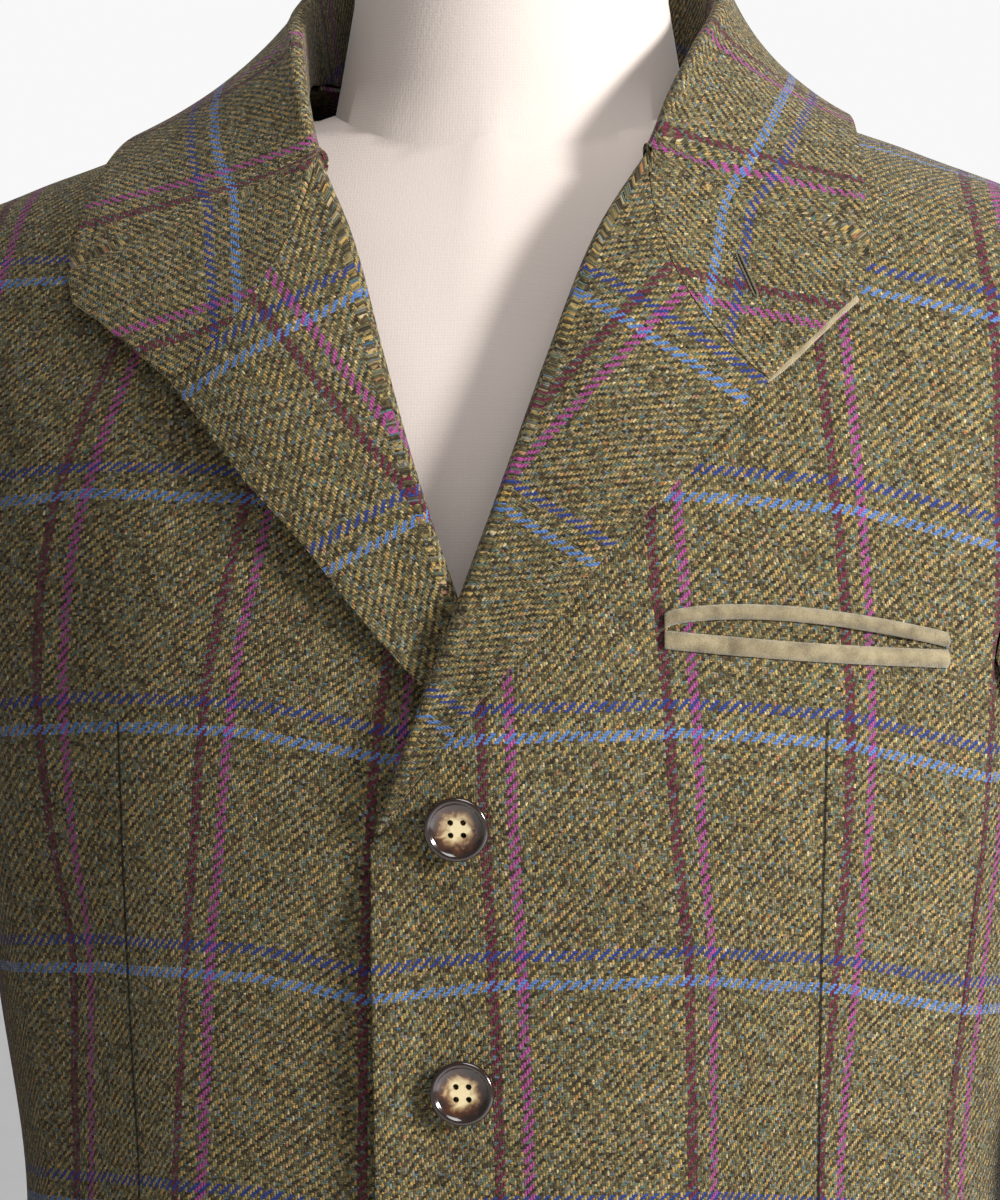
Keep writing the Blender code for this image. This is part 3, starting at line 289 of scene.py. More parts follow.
# ---------------------------------------------------------------- the jacket's cut
@dataclass(frozen=True)
class Cut:
    """Edges, seams and drape that all the pieces share."""

    cloth: float = 0.0020
    seam_gap: float = 0.0003
    hem_z: float = 0.735
    front_edge_x: float = 0.032
    break_z: float = 1.205
    button_z: float = 1.2116
    lap: float = 0.0027             # of the left front over the right
    edge_lift: float = 0.0036       # of the left front's free edge
    roll_lift: float = 0.0058       # of the left front over the lapels' crossing
    gorge_z: float = 1.449
    hem_corner: float = 0.075
    vent_top_z: float = 0.975
    vent_lap: float = 0.035
    neck_drop: float = 0.30
    turn_radius: float = 0.0026
    turn_rise: float = 0.0035       # height in which the front's edge starts to turn
    neck_clear: float = 0.0016
    shoulder_cut: float = 0.0010
    underarm_z: float = 1.250
    armhole_front_z: float = 1.270
    armhole_back_z: float = 1.285
    dart_top_z: float = 1.2487
    strain: float = 0.0008          # of the folds that run from the button
    strain_lean: float = 0.55
    strain_step: float = 0.0085
    swellings: tuple[tuple[float, Pair, Pair], ...] = (
        (0.0016, (0.176, 1.300), (0.016, 0.075)), (-0.0011, (0.150, 1.270), (0.014, 0.080)),
    )
    cockles: tuple[tuple[float, Pair, float], ...] = (
        (0.0010, (17, 11), 3.0), (0.00035, (45, 30), 7.0),
    )
    dart_x: tuple[Pair, ...] = ((0.735, 0.132), (0.975, 0.126), (1.080, 0.1240), (1.2487, 0.1290))
    roll: tuple[Pair, ...] = (
        (1.205, -0.032), (1.245, -0.0165), (1.289, 0.0000), (1.335, 0.0165),
        (1.380, 0.0310), (1.420, 0.0440), (1.449, 0.0575), (1.487, 0.0730),
    )
    armhole: tuple[tuple[float, float, float], ...] = (
        (0.00, 0.1905, 0.1905), (0.25, 0.1925, 0.1925), (0.50, 0.1985, 0.1995),
        (0.72, 0.2105, 0.2120), (0.88, 0.2235, 0.2245), (1.00, 0.2280, 0.2280),
        (1.12, 0.2235, 0.2245),
    )

    def roll_x(self, z: float) -> float:
        """Distance of the front's turned edge from the middle."""
        return spline(self.roll, z)[0] if z > self.break_z else -self.front_edge_x

    def armhole_x(self, level: float, back: bool) -> float:
        """Outer edge of front or back: the side seam below, the armhole above."""
        start = self.armhole_back_z if back else self.armhole_front_z
        seam = TRUNK.seam_share * TRUNK.section(min(level, start)).half_width
        if level <= start:
            return seam
        edge = spline(self.armhole, max(level - TRUNK.chest_z, 0.0))[1 if back else 0]
        return mix(seam, edge, smooth(start - 0.001, TRUNK.chest_z, min(level, TRUNK.chest_z)))

    def underarm(self, share: float) -> float:
        """Height of the armhole under the arm: share 0 in front, 1 behind."""
        ends = mix(self.armhole_front_z, self.armhole_back_z, share)
        return ends - (ends - self.underarm_z) * math.sin(math.pi * share) ** 0.8

    def neckline_turn(self, x: float) -> float:
        """Turn at which the back ends, lower between the sides of the neck."""
        return 1 - self.neck_drop * max(1 - (x / TRUNK.neck_side[0]) ** 2, 0.0) ** 0.5

    def front_inner_x(self, level: float) -> float:
        """Inner edge of a front, short of the fold of the lapel or collar."""
        if level <= self.break_z:
            return self.roll_x(level)
        if level <= TRUNK.chest_z:
            turned = smooth(self.break_z, self.break_z + self.turn_rise, level)
            return self.roll_x(level) + self.turn_radius * turned
        x = 0.03
        for _ in range(12):
            x = self.roll_x(TRUNK.point(x, level, False).z)
        z = TRUNK.point(x, level, False).z
        return x + self.turn_radius + self.neck_clear * smooth(self.gorge_z - 0.02, self.gorge_z, z)

    def drape(self, x: float, z: float, side: Side) -> float:
        """Soft unevenness of a front as worn: strain at the button, ease at the armhole."""
        drape = self.strain * math.sin((z - self.button_z + self.strain_lean * x) / self.strain_step)
        drape *= bump(x, z, (0.055, 1.190), (0.040, 0.035))
        for height, centre, reach in self.swellings:
            drape += height * bump(x, z, centre, reach)
        for height, counts, seed in self.cockles:
            drape += height * ripple(x, z, counts, seed * side.value)
        return drape * smooth(-0.02, 0.05, x)

    def lift(self, x: float, z: float, side: Side) -> float:
        """Height of a front over the trunk."""
        drape = self.drape(x, z, side)
        if side is Side.RIGHT:
            return drape
        lap = self.lap * (1 - smooth(0.045, 0.095, x))
        lap += self.edge_lift * (1 - smooth(-0.032, -0.010, x)) * (1 - smooth(1.16, 1.21, z))
        across, upward = (x - 0.003) / 0.052, (z - 1.250) / 0.049
        return drape + lap + self.roll_lift * math.exp(-(across**2 + upward**2) ** 1.5)

    def hem_level(self, x: float, level: float) -> float:
        """Level of a row of the front with the rounded corner at the hem let in."""
        if level >= self.vent_top_z:
            return level
        reach = max(self.hem_corner - (x + self.front_edge_x), 0.0)
        rise = self.hem_corner - math.sqrt(self.hem_corner**2 - reach**2)
        return level + rise * (self.vent_top_z - level) / (self.vent_top_z - self.hem_z)

    def faces(self, x: float, level: float, back: bool, lift: float) -> tuple[Vector, Vector]:
        """Both faces of the cloth at a level, the outer one moved out by lift."""
        point, normal = TRUNK.point(x, level, back), TRUNK.normal(x, level, back)
        return point + normal * lift, point + normal * (lift - self.cloth)

    def on_front(self, x: float, z: float, side: Side, lift: float) -> Vector:
        """Point over a front at a height, moved out from its cloth by lift."""
        return TRUNK.at(x, TRUNK.level_at(x, z), False, self.lift(x, z, side) + lift)


CUT = Cut()


@dataclass(frozen=True)
class CheckLayout:
    """Where the windowpane lies on the fronts and lapels, as the tailor laid the cuts."""

    repeat: float = 0.0648
    stripe_middle: float = 0.0018
    hang_share: float = 0.944
    warp_left: tuple[tuple[float, float, float, float, float], ...] = (
        (0.735, 0.0155, 0.0800, 0.139, 0.190),
        (0.950, 0.0145, 0.0830, 0.128, 0.172),
        (1.077, 0.0141, 0.0825, 0.1258, 0.169),
        (1.165, 0.0121, 0.0816, 0.1332, 0.178),
        (1.202, 0.0108, 0.0781, 0.1367, 0.1825),
        (1.256, 0.0095, 0.0748, 0.1384, 0.186),
        (1.320, 0.0060, 0.0685, 0.1343, 0.188),
        (1.390, 0.0040, 0.0650, 0.1255, 0.187),
        (1.434, 0.0020, 0.0620, 0.1200, 0.177),
        (1.487, 0.0000, 0.0590, 0.1130, 0.155),
    )
    warp_right: tuple[tuple[float, float, float, float, float], ...] = (
        (0.735, 0.018, -0.037, -0.112, -0.172),
        (0.950, 0.020, -0.037, -0.110, -0.157),
        (1.074, 0.022, -0.0363, -0.1093, -0.1500),
        (1.111, 0.022, -0.0358, -0.1065, -0.1490),
        (1.165, 0.024, -0.0345, -0.1024, -0.1485),
        (1.202, 0.026, -0.0320, -0.0985, -0.1560),
        (1.238, 0.028, -0.0290, -0.0951, -0.1605),
        (1.274, 0.030, -0.0240, -0.0904, -0.1612),
        (1.320, 0.040, -0.0160, -0.0793, -0.1555),
        (1.355, 0.048, -0.0100, -0.0715, -0.1440),
        (1.390, 0.056, -0.0040, -0.0660, -0.1295),
        (1.487, 0.065, 0.0040, -0.0580, -0.1160),
    )
    weft_left: tuple[Pair, ...] = (
        (-0.032, 1.2500), (0.011, 1.2546), (0.085, 1.2564), (0.137, 1.2519), (0.186, 1.2390),
    )
    weft_right: tuple[Pair, ...] = (
        (-0.197, 1.2540), (-0.137, 1.2582), (-0.077, 1.2561), (-0.029, 1.2474), (0.032, 1.2430),
    )
    past_ends: float = 0.06
    column_step_mm: int = 6

    def warp_u(self, x: float, z: float, side: Side) -> float:
        """Metres along the weft at a place on a front, x as it stands in the world."""
        table = self.warp_left if side is Side.LEFT else self.warp_right
        knots = sorted((end, self.repeat * step * side.value)
                       for step, end in enumerate(spline(table, z)))
        (x0, u0), (x1, u1), past = knots[0], knots[-1], self.past_ends
        knots = [(x0 - past, u0 - past), *knots, (x1 + past, u1 + past)]
        return straight(knots, x) + self.stripe_middle

    @lru_cache(maxsize=None)
    def column(self, x_mm: int, back: bool) -> list[Pair]:
        """Level and length of cloth up one column of the trunk, from the hem."""
        x = x_mm * MM
        levels = [CUT.hem_z + 0.01 * i for i in range(57)] + [TRUNK.chest_z + t for t in even(30)]
        run, length, before = [], 0.0, None
        for level in levels:
            seam = TRUNK.seam_share * TRUNK.section(min(level, TRUNK.chest_z)).half_width
            here = TRUNK.point(x if level > TRUNK.chest_z else min(x, seam), level, back)
            length += (here - before).length if before else 0.0
            run.append((level, length))
            before = here
        return run

    def length(self, x: float, level: float, back: bool) -> float:
        """Length of cloth from the hem up to a level."""
        step = self.column_step_mm
        low = math.floor(abs(x) / MM / step) * step
        ends = (straight(self.column(x_mm, back), level) for x_mm in (low, low + step))
        return mix(*ends, (abs(x) / MM - low) / step)

    def eased(self, length: float) -> float:
        """Ease a length of cloth over the main weft line: it hangs longer below the chest."""
        return length * (self.hang_share if length < 0 else 1.0)

    def front(self, x: float, level: float, side: Side) -> Pair:
        """Metres along weft and warp on a front, for x on the wearer's left."""
        real_x = x * side.value
        z = TRUNK.point(x, level, False).z
        base = straight(self.weft_left if side is Side.LEFT else self.weft_right, real_x)
        upward = self.length(x, level, False) - self.length(x, base, False)
        return self.warp_u(real_x, z, side), self.eased(upward) + self.stripe_middle


CHECK = CheckLayout()


@dataclass(frozen=True)
class FlatLay:
    """A piece's map laid straight on it: where two lines cross, and how they run."""

    cross_warp: Pair
    warp_run: Pair
    cross_weft: Pair
    weft_run: Pair
    stretch: float = 1.0

    def read(self, x: float, z: float) -> Pair:
        """Metres along weft and warp at a place seen from the front."""
        warp = Vector(self.warp_run).normalized()
        weft = Vector(self.weft_run).normalized()
        u = (Vector((x, z)) - Vector(self.cross_warp)).dot(Vector((warp.y, -warp.x)))
        v = (Vector((x, z)) - Vector(self.cross_weft)).dot(Vector((-weft.y, weft.x)))
        return u + CHECK.stripe_middle, v * self.stretch + CHECK.stripe_middle


# ---------------------------------------------------------------- finishes
def linear(colour: str) -> tuple[float, float, float, float]:
    """Turn an sRGB hex value into linear light with full alpha."""
    channels = []
    for i in (0, 2, 4):
        value = int(colour[i:i + 2], 16) / 255
        channels.append(value / 12.92 if value <= 0.04045 else ((value + 0.055) / 1.055) ** 2.4)
    return (*channels, 1.0)


@dataclass(frozen=True)
class Nodes:
    """Short ways to add shader nodes to one tree."""

    tree: bpy.types.NodeTree

    def add(self, kind: str, links: dict[Any, Any], **settings: Any) -> Any:
        """Add a node, set it up and link it.

        Args:
            kind: The node's type, after the words ShaderNode.
            links: Input socket by name or number, to a node, a socket or a value.
            **settings: Attributes of the node.

        Returns:
            The new node.
        """
        node = self.tree.nodes.new(f"ShaderNode{kind}")
        for name, value in settings.items():
            setattr(node, name, value)
        for name, value in links.items():
            if isinstance(value, bpy.types.Node):
                value = value.outputs[0]
            if isinstance(value, bpy.types.NodeSocket):
                self.tree.links.new(value, node.inputs[name])
            else:
                node.inputs[name].default_value = value
        return node

    def uv(self, name: str) -> Any:
        """Read one of a piece's maps."""
        return self.add("UVMap", {}, uv_map=name)

    def local(self) -> Any:
        """Read the place on the object, in metres."""
        return self.add("TexCoord", {}).outputs["Object"]

    def split(self, vector: Any) -> Any:
        """Take a vector apart."""
        return self.add("SeparateXYZ", {0: vector}).outputs

    def math(self, operation: str, *values: Any) -> Any:
        """Calculate with numbers."""
        return self.add("Math", dict(enumerate(values)), operation=operation)

    def vector(self, operation: str, *values: Any) -> Any:
        """Calculate with vectors."""
        node = self.add("VectorMath", dict(enumerate(values)), operation=operation)
        return node.outputs["Value" if operation in ("DOT_PRODUCT", "LENGTH") else "Vector"]

    def scaled(self, vector: Any, factor: float) -> Any:
        """Scale a vector."""
        return self.add("VectorMath", {0: vector, "Scale": factor}, operation="SCALE")

    def fit(self, value: Any, reach: Pair, onto: Pair = (0.0, 1.0), way: str = "LINEAR") -> Any:
        """Map one range of numbers onto another."""
        links = {0: value, 1: reach[0], 2: reach[1], 3: onto[0], 4: onto[1]}
        return self.add("MapRange", links, interpolation_type=way)

    def noise(self, place: Any, scale: float, detail: float, **more: float) -> Any:
        """Add a noise texture, with more of its sockets by name."""
        return self.add("TexNoise", {"Vector": place, "Scale": scale, "Detail": detail, **more})

    def blend(self, factor: Any, first: Any, second: Any) -> Any:
        """Blend two colours, each a socket or an sRGB hex value."""
        first, second = (linear(c) if isinstance(c, str) else c for c in (first, second))
        links = {"Factor": factor, 6: first, 7: second}
        return self.add("Mix", links, data_type="RGBA").outputs[2]

    def ramp(self, value: Any, stops: Sequence[tuple[float, str]]) -> Any:
        """Colour a number by stops, as places and sRGB hex values."""
        node = self.add("ValToRGB", {0: value})
        elements = node.color_ramp.elements
        while len(elements) > 1:
            elements.remove(elements[-1])
        elements[0].position, elements[0].color = stops[0][0], linear(stops[0][1])
        for place, colour in stops[1:]:
            elements.new(place).color = linear(colour)
        return node


Dressed = tuple[Any, tuple[Any, float, float] | None]


@dataclass(frozen=True)
class Finish:
    """A material's name and the constants of its shader."""

    name: str = "finish"
    slot: str = "tweed"
    roughness: float = 0.9
    specular: float = 0.5
    sheen: float = 0.0
    coat: float = 0.0
    dark: str = "000000"
    light: str = "ffffff"

    def material(self) -> bpy.types.Material:
        """Return the material, made once."""
        known = bpy.data.materials.get(self.name)
        if known:
            return known
        made = bpy.data.materials.new(self.name)
        made.use_nodes = True
        tree = made.node_tree
        shader = tree.nodes["Principled BSDF"]
        shader.inputs["Roughness"].default_value = self.roughness
        shader.inputs["Specular IOR Level"].default_value = self.specular
        shader.inputs["Metallic"].default_value = 0.0
        shader.inputs["Sheen Weight"].default_value = self.sheen
        shader.inputs["Sheen Roughness"].default_value = 0.45
        shader.inputs["Coat Weight"].default_value = self.coat
        shader.inputs["Coat Roughness"].default_value = 0.08
        nodes = Nodes(tree)
        colour, relief = self.dress(nodes)
        tree.links.new(colour, shader.inputs["Base Color"])
        if relief:
            raised = nodes.add("Bump", dict(zip(("Height", "Strength", "Distance"), relief)))
            tree.links.new(raised.outputs[0], shader.inputs["Normal"])
        return made

    def dress(self, nodes: Nodes) -> Dressed:
        """Give the colour's socket, and the relief's height, strength and distance."""
        raise NotImplementedError


@dataclass(frozen=True)
class TweedFinish(Finish):
    """Woollen 2/2 twill of heathered yarns with a windowpane check.

    Carded wool spun from fibres of several colours: each yarn is flecked, the twill runs
    up to the right, and coloured ends and picks show only where they float.
    """

    name: str = "woollen_twill"
    roughness: float = 0.93
    specular: float = 0.15
    sheen: float = 0.06
    yarn_mm: float = 0.90           # from one yarn to the next
    twill: Pair = (4.0, 1.5)        # yarns in the weave's repeat, and its last warp float
    sway_mm: float = 1.6            # slow wander of the yarns
    hair_mm: float = 0.85           # quick wander
    fleck_mm: float = 1.4           # length of one colour along a yarn
    fleck_wide_mm: float = 0.5
    lean: Pair = (0.574, 0.819)     # way that the twill and its fibres lean
    ends: int = 72                  # warp yarns in a repeat, 65 mm
    picks: int = 93                 # weft yarns in a repeat, 84 mm
    stripe_half: float = 2.0        # yarns from a stripe's middle to its edge
    dye: float = 0.92               # strength of a stripe's colour
    stitch_from_edge_mm: float = 8.0
    stitch_mm: float = 5.2          # from one pick stitch to the next
    line_soft: Pair = (0.0002, 0.0008)
    warp_stripes: tuple[tuple[float, str], ...] = ((1.5, "52132c"), (12.5, "8a3a72"))
    weft_stripes: tuple[tuple[float, str], ...] = ((1.5, "22326a"), (83.5, "4a6a9c"))
    warp_flecks: tuple[tuple[float, str], ...] = (
        (0.00, "3a3022"), (0.20, "52462c"), (0.42, "6b5e3c"), (0.60, "7d6e46"),
        (0.73, "8c7a4c"), (0.84, "9a783f"), (0.90, "66706a"), (0.95, "855433"), (1.0, "a69a74"),
    )
    weft_flecks: tuple[tuple[float, str], ...] = (
        (0.00, "211c15"), (0.22, "332c1f"), (0.46, "443d2a"), (0.66, "545036"),
        (0.78, "435a52"), (0.88, "63563a"), (0.94, "3c5766"), (1.0, "7a6c4c"),
    )

    def dress(self, nodes: Nodes) -> Dressed:
        """Weave the cloth, with painted shade in the hollows between the yarns."""
        in_mm = nodes.scaled(nodes.uv(CLOTH_MAP), 1 / MM)
        laid = in_mm
        for scale, detail, reach in ((0.07, 1.0, self.sway_mm), (0.9, 2.0, self.hair_mm)):
            wander = nodes.noise(in_mm, scale, detail).outputs["Color"]
            laid = nodes.vector("MULTIPLY_ADD", wander, (reach, reach, 0.0), laid)
        axes = nodes.split(nodes.scaled(laid, 1 / self.yarn_mm))
        end, pick = nodes.math("FLOOR", axes[0]), nodes.math("FLOOR", axes[1])
        step = nodes.math("FLOORED_MODULO", nodes.math("SUBTRACT", end, pick), self.twill[0])
        warp_up = nodes.math("LESS_THAN", step, self.twill[1])
        colours, profiles = [], []
        for axis, yarn, repeat, flecks, stripes in (
            (0, end, self.ends, self.warp_flecks, self.warp_stripes),
            (1, pick, self.picks, self.weft_flecks, self.weft_stripes),
        ):
            place = nodes.math("MULTIPLY", axes[1 - axis], self.yarn_mm / self.fleck_mm)
            shift = nodes.add("TexWhiteNoise", {"W": yarn}, noise_dimensions="1D")
            place = nodes.math("FLOOR", nodes.math("ADD", place, shift.outputs["Value"]))
            cell = nodes.add("CombineXYZ", {0: yarn, 1: place, 2: 7.0 * axis})
            chance = nodes.add("TexWhiteNoise", {"Vector": cell}, noise_dimensions="3D")
            colour = nodes.ramp(chance.outputs["Value"], flecks)
            order = nodes.math("FLOORED_MODULO", yarn, float(repeat))
            for middle, dye in stripes:
                mask = nodes.math("COMPARE", order, middle, self.stripe_half)
                colour = nodes.blend(nodes.math("MULTIPLY", mask, self.dye), colour, dye)
            colours.append(colour)
            across = nodes.math("MULTIPLY", nodes.math("FRACT", axes[axis]), math.pi)
            profiles.append(nodes.math("SINE", across))
        height = nodes.add("Mix", {"Factor": warp_up, 2: profiles[1], 3: profiles[0]})
        x, y = self.lean
        slanted = nodes.add("CombineXYZ", {
            0: nodes.vector("DOT_PRODUCT", laid, (y / self.fleck_wide_mm, -x / self.fleck_wide_mm, 0.0)),
            1: nodes.vector("DOT_PRODUCT", laid, (x / self.fleck_mm, y / self.fleck_mm, 0.0)),
        })
        fibre = nodes.noise(slanted, 1.0, 3.0, Roughness=0.7)
        stitch, dart = self.sewing(nodes)
        # painted shade: each yarn darkens towards its edges, where it rounds down between its neighbours,
        # and the stitches and the dart darken as painted shade in their hollows; the fibre and cloud noise
        # are the yarns' own random tone
        shade = nodes.fit(height, (0.0, 1.0), (0.50, 0.92))
        for factor in (nodes.fit(fibre, (0.28, 0.72), (0.42, 1.48)),
                       nodes.fit(nodes.noise(in_mm, 0.10, 2.0), (0.3, 0.7), (0.92, 1.08)),
                       stitch, dart):
            shade = nodes.math("MULTIPLY", shade, factor)
        woven = nodes.blend(warp_up, colours[1], colours[0])
        colour = nodes.vector("MULTIPLY", woven, nodes.add("CombineXYZ", dict.fromkeys(range(3), shade)))
        relief = height
        for part, weight in ((fibre, 0.9), (stitch, 2.2), (dart, 1.6)):
            relief = nodes.math("MULTIPLY_ADD", part, weight, relief)
        return colour, (relief.outputs[0], 0.75, 0.00022)

    def sewing(self, nodes: Nodes) -> list[Any]:
        """Painted shade in the dimples of the pick stitches inside the finished edges, and in the dart's
        crease.

        Args:
            nodes: The material's nodes.

        Returns:
            Two factors that are 1 on plain cloth and lower where shade is painted in a stitch or on the
            dart.
        """
        edge = nodes.split(nodes.uv(EDGE_MAP))
        mark = nodes.split(nodes.add("Attribute", {}, attribute_name=MARK).outputs["Vector"])
        run = nodes.math("FLOORED_MODULO", edge[1], self.stitch_mm * MM)
        run = nodes.fit(run, (0.0, self.stitch_mm * MM), (0.35, 1.0))
        away = nodes.math("SUBTRACT", edge[0], self.stitch_from_edge_mm * MM)
        below = nodes.math("LESS_THAN", mark[1], 0.0)
        factors = []
        # the last number is how dark the painted shade gets in a stitch, and on the dart
        for off, held, least in ((away, run, 0.62), (mark[0], below, 0.16)):
            line = nodes.math("ABSOLUTE", off)
            line = nodes.fit(line, self.line_soft, (1.0, 0.0), "SMOOTHSTEP")
            line = nodes.math("MULTIPLY", line, held)
            factors.append(nodes.fit(line, (0.0, 1.0), (1.0, least)))
        return factors


@dataclass(frozen=True)
class NappedFinish(Finish):
    """Brushed or felted cloth with no weave in sight: short fibres lie every way."""

    name: str = "moleskin_nap"
    slot: str = "moleskin"
    roughness: float = 0.95
    specular: float = 0.2
    sheen: float = 0.35
    light: str = "83775c"
    dark: str = "584e3a"
    fibre_mm: float = 0.45

    def dress(self, nodes: Nodes) -> Dressed:
        """Brush the fibres."""
        place = nodes.local()
        fibre = nodes.noise(place, 1 / (self.fibre_mm * MM), 4.0, Roughness=0.7)
        both = nodes.math("ADD", fibre, nodes.noise(place, 160.0, 2.0)).outputs[0]
        tint = nodes.fit(both, (0.75, 1.2))
        return nodes.blend(tint, self.dark, self.light), (both, 0.8, 0.0005)


@dataclass(frozen=True)
class HornFinish(Finish):
    """Polished horn-effect resin, cast in cloudy layers: dark rim, cream heart."""

    name: str = "horn_effect_resin"
    slot: str = "horn"
    roughness: float = 0.16
    coat: float = 0.6
    heart: float = 0.0072           # radius of the cream heart
    cloudy: float = 0.0075          # reach of the clouds round it
    layers: tuple[tuple[float, str], ...] = (
        (0.0, "bfae86"), (0.30, "7d6240"), (0.48, "3f2312"), (0.75, "1d100a"),
    )

    def dress(self, nodes: Nodes) -> Dressed:
        """Cloud the resin from its middle outwards."""
        swirl = nodes.noise(nodes.uv(CLOTH_MAP), 190.0, 3.0, Distortion=1.2)
        reach = nodes.vector("LENGTH", nodes.uv(EDGE_MAP))
        cloud = nodes.math("MULTIPLY_ADD", swirl, self.cloudy, reach)
        tone = nodes.fit(cloud, (self.heart, self.heart + self.cloudy))
        return nodes.ramp(tone, self.layers).outputs[0], None


@dataclass(frozen=True)
class ThreadFinish(Finish):
    """Twisted silk buttonhole thread, worked close in loops."""

    name: str = "buttonhole_thread"
    roughness: float = 0.6
    sheen: float = 0.2
    dark: str = "2e2a1a"
    light: str = "4d4629"

    def dress(self, nodes: Nodes) -> Dressed:
        """Show the separate loops, with painted shade in the grooves between them."""
        wave = {"Vector": nodes.local(), "Scale": 520.0, "Distortion": 1.0}
        loops = nodes.add("TexWave", wave, bands_direction="DIAGONAL").outputs[1]
        return nodes.blend(loops, self.dark, self.light), (loops, 0.5, 0.0002)


@dataclass(frozen=True)
class JerseyFinish(Finish):
    """Tight cotton jersey over the form: fine ribs of stitches, slightly soiled cream."""

    name: str = "form_jersey"
    slot: str = "form_cloth"
    roughness: float = 0.88
    specular: float = 0.3
    sheen: float = 0.15
    light: str = "b7aca5"
    dark: str = "aca098"
    rib_mm: float = 1.1             # drawn coarser than the real 0.6 mm, so that it shows

    def dress(self, nodes: Nodes) -> Dressed:
        """Knit the ribs."""
        place = nodes.local()
        knit = {"Vector": place, "Scale": 1 / (self.rib_mm * MM), "Randomness": 0.35}
        ribs = nodes.add("TexVoronoi", knit).outputs["Distance"]
        patch = nodes.noise(place, 14.0, 4.0)
        return nodes.blend(patch, self.dark, self.light), (ribs, 0.35, 0.0002)


@dataclass(frozen=True)
class BeechFinish(Finish):
    """Turned beech, stained walnut and varnished: short dark pores along the grain."""

    name: str = "stained_beech"
    slot: str = "stand_wood"
    roughness: float = 0.38
    coat: float = 0.35
    dark: str = "2f1a0d"
    light: str = "5a351c"
    ring_mm: float = 7.0

    def dress(self, nodes: Nodes) -> Dressed:
        """Draw rings, pores and a little wear."""
        lengthwise = nodes.add("Mapping", {"Vector": nodes.local(), "Scale": (1.0, 1.0, 0.06)})
        rings = nodes.noise(lengthwise, 1 / (self.ring_mm * MM), 5.0, Roughness=0.6, Distortion=0.6)
        return nodes.blend(rings, self.dark, self.light), (rings.outputs[0], 0.2, 0.0004)


@dataclass(frozen=True)
class PaintFinish(Finish):
    """Matt white studio paint on the floor, rolled, so very faintly uneven."""

    name: str = "studio_floor_paint"
    slot: str = ""
    light: str = "f2f2f2"
    dark: str = "ebebeb"

    def dress(self, nodes: Nodes) -> Dressed:
        """Leave the roller's faint unevenness."""
        return nodes.blend(nodes.noise(nodes.local(), 2.0, 3.0), self.dark, self.light), None


TWEED = TweedFinish()
MOLESKIN = NappedFinish()
MELTON = NappedFinish(name="melton_felt", slot="melton", light="8f8266", dark="74684f",
                      fibre_mm=0.3)


# ---------------------------------------------------------------- meshes
def grid_quads(rows: int, columns: int, base: int = 0) -> list[tuple[int, int, int, int]]:
    """Quads between the points of a grid, numbered row by row from base."""
    corners = [base + i * columns + j for i in range(rows - 1) for j in range(columns - 1)]
    return [(a, a + 1, a + 1 + columns, a + columns) for a in corners]


@dataclass
class Shell:
    """A thin piece of cloth between two grids of points with the same layout."""

    name: str
    finish: Finish
    replaces: tuple[str, ...]
    outer: Grid
    inner: Grid
    cloth: list[list[Pair]]
    edge: list[list[Pair]] | None = None
    mark: list[list[Pair]] | None = None
    held: str = "hung"
    rests_on: tuple[str, ...] = ("form_torso",)
    soft_edge: float = 0.0007
    least_cut: float = 0.0105       # a narrow strip is cut with its turnings

    def faces(self) -> list[tuple[int, int, int, int]]:
        """Quads of both sides and of the rim."""
        rows, columns = len(self.outer), len(self.outer[0])
        under = rows * columns
        made = []
        for a, b, c, d in grid_quads(rows, columns):
            made.append((a, b, c, d))
            made.append((under + d, under + c, under + b, under + a))
        last = under - columns
        rim = [*range(columns), *range(2 * columns - 1, under, columns)]
        rim += [*range(under - 2, last - 1, -1), *range(last - columns, 0, -columns)]
        for a, b in zip(rim, rim[1:] + rim[:1]):
            made.append((b, a, under + a, under + b))
        return made

    def size(self) -> tuple[float, float, float]:
        """Width, length and area of the flat cut."""
        area = 0.0
        for low, high in zip(self.outer, self.outer[1:]):
            for j in range(len(low) - 1):
                area += (low[j + 1] - low[j]).cross(high[j] - low[j]).length / 2
                area += (low[j + 1] - high[j + 1]).cross(high[j] - high[j + 1]).length / 2
        width = max(run_lengths(row)[-1] for row in self.outer)
        length = max(run_lengths(line)[-1] for line in zip(*self.outer))
        width, length = max(width, self.least_cut), max(length, self.least_cut)
        return width, length, min(area, width * length)

    def build(self) -> None:
        points = [p for grid in (self.outer, self.inner) for row in grid for p in row]
        count = len(points) // 2
        mesh = bpy.data.meshes.new(self.name)
        mesh.from_pydata(points, [], self.faces())
        cloth, edge, mark = (
            [pair for row in rows for pair in row] if rows else [blank] * count
            for rows, blank in ((self.cloth, ()), (self.edge, (FAR, 0.0)), (self.mark, (FAR, FAR)))
        )
        for label, pairs in ((CLOTH_MAP, cloth), (EDGE_MAP, edge)):
            layer = mesh.uv_layers.new(name=label)
            for loop in mesh.loops:
                layer.data[loop.index].uv = pairs[loop.vertex_index % count]
        marks = mesh.attributes.new(MARK, "FLOAT_VECTOR", "POINT")
        for number in range(len(points)):
            marks.data[number].vector = (*mark[number % count], 0.0)
        thing = linked(self.name, mesh)
        bm = bmesh.new()
        bm.from_mesh(mesh)
        bmesh.ops.recalc_face_normals(bm, faces=bm.faces)
        bm.to_mesh(mesh)
        bm.free()
        soften = thing.modifiers.new("soft_edge", "BEVEL")
        soften.width = self.soft_edge
        soften.segments = 2
        soften.limit_method = "ANGLE"
        soften.angle_limit = math.radians(55)
        bpy.ops.object.modifier_apply(modifier=soften.name)
        bpy.ops.object.shade_smooth()
        finish_piece(thing, self.finish, self.replaces)
        width, length, area = self.size()


def laid_out(rows: Sequence[Sequence[tuple]]) -> list[list[list[Any]]]:
    """Turn rows of points, each with its places and maps, into one grid of each."""
    return [list(grid) for grid in zip(*([list(line) for line in zip(*row)] for row in rows))]


